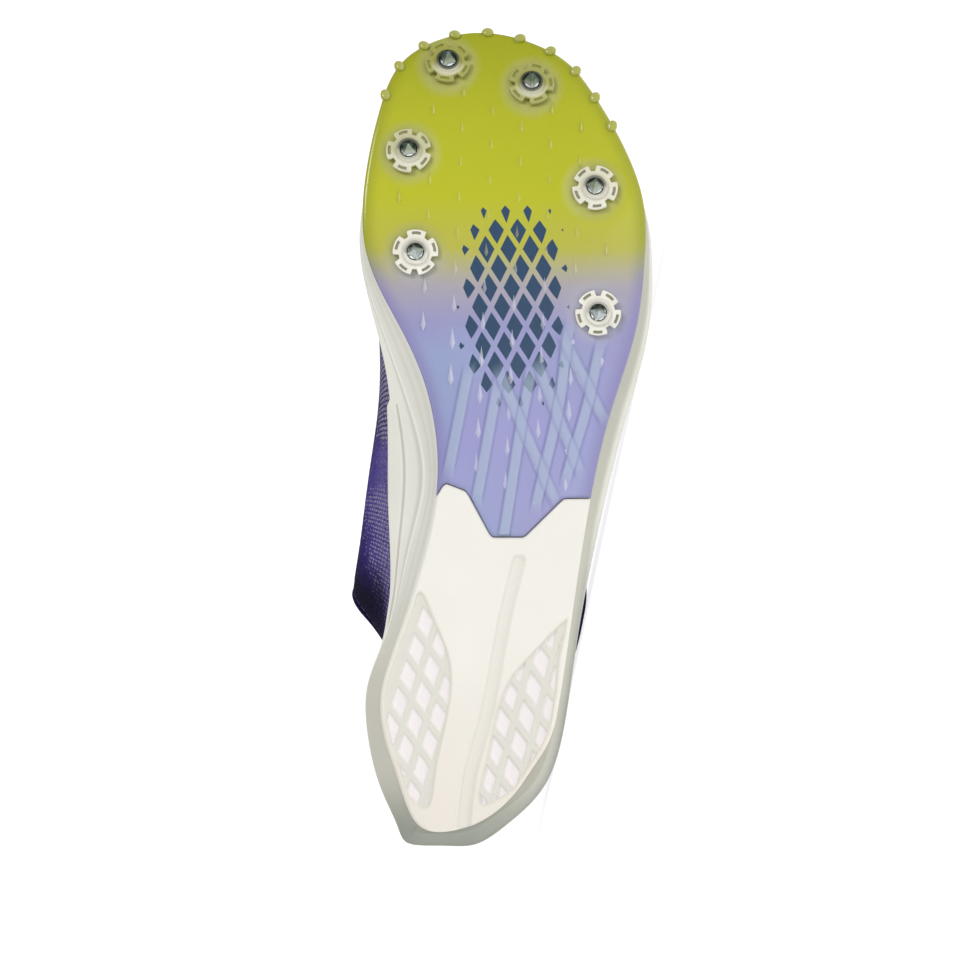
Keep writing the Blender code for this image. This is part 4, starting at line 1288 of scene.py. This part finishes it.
def make_laces(surface):
    along = np.linspace(EYELET_FIRST, EYELET_LAST, EYELETS) * LENGTH
    runs = [(along[-1], along[-1], 1, 0.0)]
    for k in range(EYELETS - 1):
        over = 0.0006 if k % 2 else -0.0001
        runs += [(along[k], along[k + 1], 1, over), (along[k], along[k + 1], -1, 0.0005 - over)]
    meshes = []
    samples = 64
    around = circle(16)
    flat = np.sign(np.cos(around)) * np.abs(np.cos(around)) ** 0.6
    tall = np.sign(np.sin(around)) * np.abs(np.sin(around)) ** 0.8 * LACE / 2
    faces = grid_faces(samples, len(around), closed_columns=True)
    for run in runs:
        line, ups, widths = lace_path(*run)
        path = open_spline(line, samples)
        up = unit(open_spline(ups, samples))
        width = open_spline(widths[:, None], samples)[:, 0] * LACE_WIDTH / 2
        heading = unit(np.gradient(path, axis=0))
        side = unit(np.cross(heading, up))
        up = unit(np.cross(side, heading))
        stack = path[:, None] + side[:, None] * (flat[None] * width[:, None])[..., None]
        stack = stack + up[:, None] * tall[None, :, None]
        u = np.broadcast_to(running_length(path)[:, None], stack.shape[:2])
        v = np.broadcast_to((flat * LACE_WIDTH / 2)[None], stack.shape[:2])
        loop_uv = np.stack([u, v], axis=-1).reshape(-1, 2)[faces]
        meshes.append(new_mesh("lacing", stack.reshape(-1, 3), faces, loop_uv=loop_uv))
    piece("lacing", merged(meshes), surface, "laces", slot="lace_cloth")


def side_lines(ring):
    """Y of the ring's inner and outer side, as tables over X."""
    ring = np.roll(ring, -int(ring[:, 0].argmin()), axis=0)
    tip = int(ring[:, 0].argmax())
    outer = ring[: tip + 1]
    inner = np.vstack([ring[tip:], ring[:1]])[::-1]
    return inner[:, :2], outer[:, :2]


def sides_at(x, lines):
    """Y of the inner and the outer side at each X, from their tables."""
    return [np.interp(x, line[:, 0], line[:, 1]) for line in lines]


def front_of_pad(y):
    """X of the pad's front edge at each Y, with rounded corners."""
    front = placed(PAD_FRONT)[::-1]
    offsets = np.linspace(-0.0010, 0.0010, 9)
    return sum(np.interp(y + offset, front[:, 1], front[:, 0]) for offset in offsets) / len(offsets)


def rounded_heel(ring):
    """The ring with its corners at the heel rounded off."""
    reach = 230
    window = np.hanning(2 * reach + 1)
    padded = np.concatenate([ring[-reach:], ring, ring[:reach]])
    smooth = [np.convolve(padded[:, k], window / window.sum(), "valid") for k in range(3)]
    share = 1 - step(ring[:, :1], 0.020, 0.045)
    return ring + (np.stack(smooth, axis=-1) - ring) * share


def skin_grid(rows, columns, pad):
    """Flat points under the pad or the plate, each row across the sole, and their shares."""
    ring = base_ring(np.linspace(0, ROWS, 2800, endpoint=False))
    if pad:
        ring = rounded_heel(ring)
    lines = side_lines(ring)
    heel, toe = lines[0][0, 0] + 0.0001, lines[0][-1, 0] - 0.00008
    t = np.linspace(0, 1, columns)
    front = np.full(columns, 0.4 * LENGTH)
    for _ in range(30):
        low, high = sides_at(front, lines)
        front = front_of_pad(low + (high - low) * t)
    s = np.linspace(0, 1, rows)[:, None]
    if pad:
        x = heel + (front - heel) * s**2
    else:
        back = front + 1.3 * GAP
        x = back + (toe - back) * (1 - (1 - s) ** 2)
    low, high = sides_at(x, lines)
    y = low + (high - low) * t
    share = np.abs(2 * t - 1) + 0 * x
    share = np.maximum(share, (x / LENGTH - SPINE_TOE) / (1 - SPINE_TOE))
    share = np.maximum(share, 1 - x / LENGTH / SPINE_HEEL)
    edge = np.minimum(t, 1 - t) * (high - low)
    ends = np.abs(x - x[-1 if pad else 0])
    return x, y, share, edge, ends


def rimmed(name, x, y, bottom, top, fields):
    """A skin's underside with its side walls, as one mesh."""
    rows, columns = x.shape
    points = np.stack([x, y, bottom], axis=-1).reshape(-1, 3)
    index = np.arange(rows * columns).reshape(rows, columns)
    loop = np.concatenate([index[0], index[1:, -1], index[-1, -2::-1], index[-2:0:-1, 0]])
    upper = points[loop]
    upper[:, 2] = top.reshape(-1)[loop]
    numbers = len(points) + np.arange(len(loop))
    side = np.stack([loop, numbers, np.roll(numbers, -1), np.roll(loop, -1)], axis=-1)
    points = np.vstack([points, upper])
    fields = {key: np.concatenate([v.ravel(), v.ravel()[loop]]) for key, v in fields.items()}
    mesh = new_mesh(name, points, np.vstack([grid_faces(rows, columns), side]), fields)
    mesh.set_sharp_from_angle(angle=math.radians(50))
    return mesh


def distance_to_line(x, y, line):
    """Distance of each point from a line through several points."""
    best = np.full(x.shape, 1.0)
    for (x0, y0), (x1, y1) in zip(line, line[1:]):
        length = (x1 - x0) ** 2 + (y1 - y0) ** 2
        t = np.clip(((x - x0) * (x1 - x0) + (y - y0) * (y1 - y0)) / length, 0, 1)
        gone = np.hypot(x - x0 - t * (x1 - x0), y - y0 - t * (y1 - y0))
        best = np.minimum(best, gone)
    return best


def inside_outline(x, y, outline):
    """Distance inside a closed outline: positive inside it, negative outside."""
    closed = np.vstack([outline, outline[:1]])
    crossings = np.zeros(x.shape, int)
    for (x0, y0), (x1, y1) in zip(closed, closed[1:]):
        spans = (y0 > y) != (y1 > y)
        at = x0 + (y - y0) / (y1 - y0 + 1e-12) * (x1 - x0)
        crossings += spans & (x < at)
    return distance_to_line(x, y, closed) * np.where(crossings % 2 == 1, 1, -1)


def make_pad(surface):
    x, y, share, edge, ends = skin_grid(PAD_ROWS, PAD_COLUMNS, True)
    sunk, tiles, border = np.zeros((3, *x.shape))
    for panel in PANELS:
        outline = placed(panel.outline)
        outline = closed_spline(outline, np.linspace(0, len(outline), 66, endpoint=False))
        inside = np.minimum(inside_outline(x, y, outline), edge - PANEL_MARGIN)
        middle, steps = np.array(panel.middle), np.array([panel.along, panel.across])
        flat = (np.stack([x, y], axis=-1) - middle) @ np.linalg.inv(steps.T).T
        off_centre = np.abs(flat - np.round(flat)).max(axis=-1)
        centre = np.round(flat) @ steps + middle
        whole = inside_outline(centre[..., 0], centre[..., 1], outline) > panel.inside
        sunk = np.maximum(sunk, step(inside, 0.0, 0.0006))
        opening = whole * step(off_centre, 0.385, 0.315) * step(inside, 0.0004, 0.0010)
        border = np.maximum(border, bell(inside, 0.0, 0.0004))
        tiles = np.maximum(tiles, opening)
    gone = distance_to_line(x, y, open_spline(placed(GROOVE), 33))
    groove = step(gone, GROOVE_WIDTH / 2 + 0.0006, GROOVE_WIDTH / 2 - 0.0008)
    rounding = PAD_CHAMFER * (1 - np.clip(np.minimum(edge, ends) / PAD_CHAMFER, 0, 1)) ** 2
    top = under_foam(x, share) - GAP
    bottom = top - PAD + rounding + GROOVE_DEPTH * groove
    bottom = bottom + PANEL_DEPTH * sunk * (0.45 + 0.55 * tiles)
    fields = {"tile": tiles, "rib": sunk * (1 - tiles), "groove": groove * 0.6, "border": border}
    mesh = rimmed("heel_rubber", x, y, bottom, top, fields)
    piece("heel_rubber", mesh, surface, "heel_pad", slot="pad_rubber")


def toe_rim_places():
    """Where the studs stand on the toe's rim, with the way along the rim there."""
    rows = np.linspace(TOE_ROW - RIM_SEARCH_ROWS, TOE_ROW + RIM_SEARCH_ROWS, 400)
    edge, out, _ = edge_of_sole(rows)
    run = running_length(edge)
    run -= np.interp(TOE_ROW, rows, run) - STUD_SHIFT
    middle = (edge - out * STUD_INSET)[:, :2]
    along = unit(np.gradient(middle, axis=0))
    found = []
    for at in (np.arange(STUDS) - STUDS // 2) * STUD_PITCH:
        x, y, *way = [np.interp(at, run, values) for values in (*middle.T, *along.T)]
        found.append((x, y, unit(np.array(way))))
    return found


def with_fields(mesh, **values):
    """Sets the plate's fields on a mesh, each to one number or to one for each point."""
    for field in ("rim", "rib", "rib_edge", "dimple_shade", "tooth", "stud"):
        if field not in mesh.attributes:
            add_field(mesh, field, np.zeros(len(mesh.vertices)) + values.get(field, 0.0))
    return mesh


def stud_mesh(x, y, along):
    """A low oval stud with a soft top on the plate's edge. Its length follows the edge."""
    around = circle(32)[:, None]
    low, high = GAP + 0.0001, GAP + PLATE + STUD_HEIGHT * 0.6
    outline = [(1.0, low), (1.0, high - 0.0010), (0.95, high - 0.0006), (0.84, high - 0.0003)]
    outline += [(0.65, high - 0.0001), (0.40, high), (0.001, high)]
    side = np.array([-along[1], along[0]])
    rings, inward = [], []
    for share, height in outline:
        long = STUD_RADIUS * 1.05 * share * np.cos(around) * along
        short = STUD_RADIUS * 0.85 * share * np.sin(around) * side
        ring = np.column_stack([long + short, height + 0 * around])
        rings.append(in_frame(ring, sole_frame(x, y, 0.0)))
        inward.append((long + short) @ side)
    inward = np.concatenate(inward)
    pale = 0.35 + 0.65 * step(inward, STUD_RADIUS * 0.6, -STUD_RADIUS * 0.2)
    # The studs take half of the painted shade of the plate's edge.
    return with_fields(lofted("studs", rings), stud=pale, rim=0.5)


def tooth_places():
    """Staggered columns of small teeth over the forefoot and the waist."""
    lines = side_lines(base_ring(np.linspace(0, ROWS, 700, endpoint=False)))
    pins = placed([pin[:2] for pin in PINS])
    found = []
    for column in range(-4, 6):
        for row in range(-1, 12):
            x = TEETH_ALONG - TEETH_ROW * (row + (column % 2) / 2)
            y = TEETH_OUT + TEETH_COLUMN * column - TEETH_SLANT * (TEETH_ALONG - x)
            low, high = sides_at(x, lines)
            clear = min(y - low, high - y) > TEETH_EDGE
            apart = np.hypot(*(pins - (x, y)).T).min() > TEETH_PIN
            behind = x > front_of_pad(np.array([y]))[0] + TEETH_PAD
            if clear and apart and behind and x < TEETH_TOE:
                found.append((x, y))
    return found


def tooth_mesh(x, y):
    """A small wedge, sharp along its top. The teeth at the waist are longer."""
    growth = float(step(x, 0.215, 0.165))
    points = TOOTH * (1 + 0.6 * growth, 1 + 0.4 * growth, 1.0)
    points = in_frame(points, sole_frame(x, y, GAP + PLATE - 0.0001))
    mesh = new_mesh("teeth", points, [(0, 1, 4), (1, 2, 4), (2, 3, 4), (3, 0, 4)])
    mesh.shade_flat()
    # The tooth field is partly a painted glint, stronger on the longer teeth at the waist.
    return with_fields(mesh, tooth=0.7 + 0.7 * growth)


def make_plate(surface):
    x, y, share, edge, ends = skin_grid(PLATE_ROWS, PLATE_COLUMNS, False)
    ribs, rib_edges, dimples = np.zeros((3, *x.shape))
    for rib in RIBS:
        middle = open_spline(placed(rib), 9)
        ahead = unit(middle[-1] - middle[0])
        middle = np.vstack([middle[0] - ahead * RIB_TAIL, middle, middle[-1] + ahead * RIB_TAIL])
        gone = distance_to_line(x, y, middle)
        run = (x - middle[0, 0]) * ahead[0] + (y - middle[0, 1]) * ahead[1]
        length = np.linalg.norm(middle[-1] - middle[0])
        fade = step(run, 0.0, RIB_TAIL) * step(run, length, length - RIB_TAIL)
        ribs = np.maximum(ribs, fade * step(gone, RIB_WIDTH / 2, RIB_WIDTH / 2 - 0.0006))
        rib_edges = np.maximum(rib_edges, fade * bell(gone, RIB_WIDTH / 2, 0.0004))
    # The dimples sink the plate round each flange; their field also paints the flange's shadow
    # there.
    for along, out, _ in PINS:
        gone = np.hypot(x - along * LENGTH, y - out * BALL_WIDTH)
        dimples = np.maximum(dimples, step(gone, *DIMPLE))
    rounding = PLATE_CHAMFER * (1 - np.clip(np.minimum(edge, ends) / 0.0009, 0, 1)) ** 2
    top = under_foam(x, share) - GAP
    bottom = top - PLATE + rounding - RIB_HEIGHT * ribs * step(ends, 0.0, 0.001)
    bottom = bottom + DIMPLE_DEPTH * dimples
    # Painted shade: the rim field darkens the plate toward its edge.
    fields = {"rim": step(edge, 0.007, 0.0) ** 1.5, "rib": ribs, "rib_edge": rib_edges}
    fields["dimple_shade"] = dimples
    parts = [with_fields(rimmed("plate_shell", x, y, bottom, top, fields))]
    parts += [stud_mesh(*place) for place in toe_rim_places()]
    parts += [tooth_mesh(*place) for place in tooth_places()]
    piece("plate_shell", merged(parts), surface, "spike_plate", slot="plate_plastic")


def flat_ring(radius, height, angles):
    radius = radius + 0 * angles
    height = height + 0 * angles
    return np.column_stack([radius * np.cos(angles), radius * np.sin(angles), height])


def toe_side(points, turn):
    """How far points round a pin lie toward the toe."""
    return points[..., 1] * math.sin(turn) - points[..., 0] * math.cos(turn)


def make_receptacle(number, place, turn, surface):
    """A notched flange with slots and a hub. The plate veils the toe side of the front ones."""
    angles = circle(ROUND_POINTS)
    share = (angles / (2 * math.pi) * ARMS) % 1.0
    arm = step(share, 0.20, 0.245) * step(share, 1.0, 0.955)
    rim = NOTCH_RADIUS + (FLANGE_RADIUS - NOTCH_RADIUS) * arm
    slot = step(share, 0.40, 0.44) * step(share, 0.80, 0.76) * arm
    top = rim - 0.0003
    # Each profile step's third number is painted shade: in the slots, at the hub's foot and down
    # the bore.
    profile = [(rim, 0.0, 0.0), (rim, FLANGE - 0.0003, 0.0)]
    profile += [(rim - 0.00008, FLANGE - 0.00012, 0.0), (top, FLANGE, 0.0)]
    for radius, depth in ((0.0072, 0), (0.0070, 1), (0.0063, 1), (0.0061, 0)):
        profile.append((np.minimum(radius, top), FLANGE - 0.0005 * depth * slot, depth * slot))
    profile += [
        (np.minimum(0.0054, top), FLANGE, 0.0),
        (HUB_RADIUS + 0.0002, FLANGE, 0.25),
        (HUB_RADIUS, FLANGE + 0.0002, 0.2),
        (HUB_RADIUS - 0.0001, HUB_HEIGHT - 0.0003, 0.0),
        (HUB_RADIUS - 0.0003, HUB_HEIGHT - 0.0001, 0.0),
        (HUB_RADIUS - 0.0005, HUB_HEIGHT, 0.0),
        (BORE_RADIUS + 0.0002, HUB_HEIGHT, 0.0),
        (BORE_RADIUS, HUB_HEIGHT - 0.0002, 0.5),
        (BORE_RADIUS, BORE_FLOOR, 1.0),
        (0.0001, BORE_FLOOR, 1.0),
    ]
    flat = np.array([flat_ring(radius, height, angles) for radius, height, _ in profile])
    dark = np.array([shade + 0 * angles for _, _, shade in profile])
    toward_toe = toe_side(flat, turn)
    radius = np.hypot(flat[..., 0], flat[..., 1])
    veil = VEILS[number - 1] * step(toward_toe, -0.0042, 0.0004)
    veil = np.maximum(veil, TINTS[number - 1] * step(radius, 0.0050, 0.0058))
    # Painted shade on the hub's top and in its bore, on the toe side, and all round the front hubs.
    hub_shade = HUB_SHADES[number - 1] * step(radius, HUB_RADIUS, HUB_RADIUS - 0.0006)
    hub_shade = hub_shade * np.maximum(step(toward_toe, -0.0016, 0.0008), HUB_SHADES_ROUND[number - 1])
    bore = dark * (radius < HUB_RADIUS - 0.0006)
    hub_shade = np.maximum(hub_shade, bore * (1 - PIN_LIGHTS[number - 1]))
    fields = {"dark": dark, "veil": veil, "hub_shade": hub_shade}
    name = f"socket_{number}"
    mesh = lofted(name, in_frame(flat, place), fields)
    mesh.set_sharp_from_angle(angle=math.radians(40))
    piece(name, mesh, surface, f"receptacle_{number}", slot="socket_plastic")


def make_pin(number, place, turn, surface):
    """A round shank that turns into a square pyramid."""
    angles = circle(64)
    square = 1 / np.maximum(np.abs(np.cos(angles)), np.abs(np.sin(angles)))
    square = np.minimum(square, 1.33)
    foot = BORE_FLOOR + GAP
    shank = BORE_RADIUS - GAP
    tip = HUB_HEIGHT + PIN_LENGTH
    shoulder = HUB_HEIGHT + SHOULDER
    profile = (
        (0.0001, foot),
        (shank, foot),
        (shank, HUB_HEIGHT + SHANK_TOP),
        (np.minimum(shank, PIN_HALF * square), HUB_HEIGHT + 0.0004),
        (PIN_HALF * square, shoulder),
        ((PIN_HALF + PIN_TIP) / 2 * square, (shoulder + tip) / 2),
        (PIN_TIP * square, tip - 0.00015),
        (PIN_TIP * 0.7 * square, tip),
        (0.00001 * square, tip),
    )
    flat = np.array([flat_ring(radius, height, angles) for radius, height in profile])
    toward_toe = toe_side(flat, turn)
    # Painted highlight: white on the heel side below the shoulder, and on the heel side of the back
    # pins.
    ring = step(flat[..., 2], shoulder + 0.0002, shoulder - 0.0001) * step(toward_toe, 0.0, -0.0016)
    ring = np.maximum(ring, PIN_LIGHTS[number - 1] * step(toward_toe, 0.0014, 0.0004))
    # Painted shade: the front pins are darker.
    dim = np.full(ring.shape, HUB_SHADES[number - 1] - 0.4)
    name = f"pin_{number}"
    mesh = lofted(name, in_frame(flat, place), {"ring": ring, "dim": dim})
    mesh.set_sharp_from_angle(angle=math.radians(30))
    piece(name, mesh, surface, f"spike_{number}", slot="pin_steel")


# ---- Stage, lights and camera ----


def make_stage():
    """A white floor that sweeps up behind the shoe."""
    made = Surface("stage_white", 0.9)
    made.base((0.40, 0.40, 0.40, 1.0))
    made.set({"Specular IOR Level": 0.0})
    made.set({"Emission Color": (1.0, 1.0, 1.0, 1.0), "Emission Strength": 0.82})
    radius, near, far, wide, tall = 0.5, -2.2, 0.55, 3.0, 2.5
    line = [(near, 0.0), (far, 0.0)]
    for turn in np.linspace(0, math.pi / 2, 24):
        line.append((far + radius * math.sin(turn), radius * (1 - math.cos(turn))))
    line.append((far + radius, tall))
    points = [(x, y, z) for y, z in line for x in (-wide, wide)]
    mesh = bpy.data.meshes.new("stage_sweep")
    mesh.from_pydata(points, [], grid_faces(len(line), 2).tolist())
    mesh.shade_smooth()
    mesh.materials.append(made.material)
    sweep = linked("stage_sweep", mesh)


def area_light(name, place, size, power):
    light = bpy.data.lights.new(name, "AREA")
    light.shape = "DISK"
    light.size = size
    light.energy = power
    made = linked(name, light)
    made.location = place
    way = Vector(LIGHT_TARGET) - Vector(place)
    made.rotation_euler = way.to_track_quat("-Z", "Y").to_euler()


def make_lights():
    world = bpy.data.worlds.new("studio")
    bpy.context.scene.world = world
    world.use_nodes = True
    background = world.node_tree.nodes["Background"]
    background.inputs["Color"].default_value = (1.0, 1.0, 1.0, 1.0)
    background.inputs["Strength"].default_value = 0.42
    area_light("key", (0.9, -1.5, 1.3), 0.9, 17.5)
    area_light("side", (-1.1, -1.2, 0.9), 0.7, 3.0)


def make_camera():
    """Looks straight at the sole, with the toe at the picture's top."""
    turn = SHOE_TO_WORLD.to_3x3()
    right, top, back = (turn @ Vector(way) for way in ((0, 1, 0), (1, 0, 0), (0, 0, -1)))
    target = SHOE_TO_WORLD @ Vector((CAMERA_ALONG, CAMERA_OUT, 0.0))
    camera = bpy.data.cameras.new("camera")
    camera.sensor_width = 36.0
    camera.lens = camera.sensor_width * CAMERA_DISTANCE / CAMERA_SPAN
    camera.clip_start = 0.05
    camera.clip_end = 20.0
    made = linked("camera", camera)
    facing = Matrix((right, top, back)).transposed().to_4x4()
    made.matrix_world = Matrix.Translation(target + back * CAMERA_DISTANCE) @ facing
    bpy.context.scene.camera = made


def main():
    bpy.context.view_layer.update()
    make_camera()
    make_lights()
    make_stage()
    foam, pad, plate = foam_surface(), pad_surface(), plate_surface()
    knit, lace = upper_surface(), lace_surface()
    sockets, steel = socket_surface(), steel_surface()
    tongue = cloth_surface("tongue_cloth", *TONGUE_CLOTH)
    footbed = cloth_surface("footbed_cloth", *FOOTBED_CLOTH)
    make_midsole(foam)
    make_insole(footbed)
    make_upper(knit)
    make_eyelet_rings(tongue)
    make_tongue(tongue)
    make_laces(lace)
    make_pad(pad)
    make_plate(plate)
    for number, (along, out, turn) in enumerate(PINS, start=1):
        place = sole_frame(along * LENGTH, out * BALL_WIDTH, GAP + PLATE + SEAT_GAP)
        place = place @ Matrix.Rotation(math.radians(turn), 4, "Z")
        make_receptacle(number, place, math.radians(turn), sockets)
        make_pin(number, place, math.radians(turn), steel)
    bpy.context.scene.view_settings.view_transform = "Standard"


main()
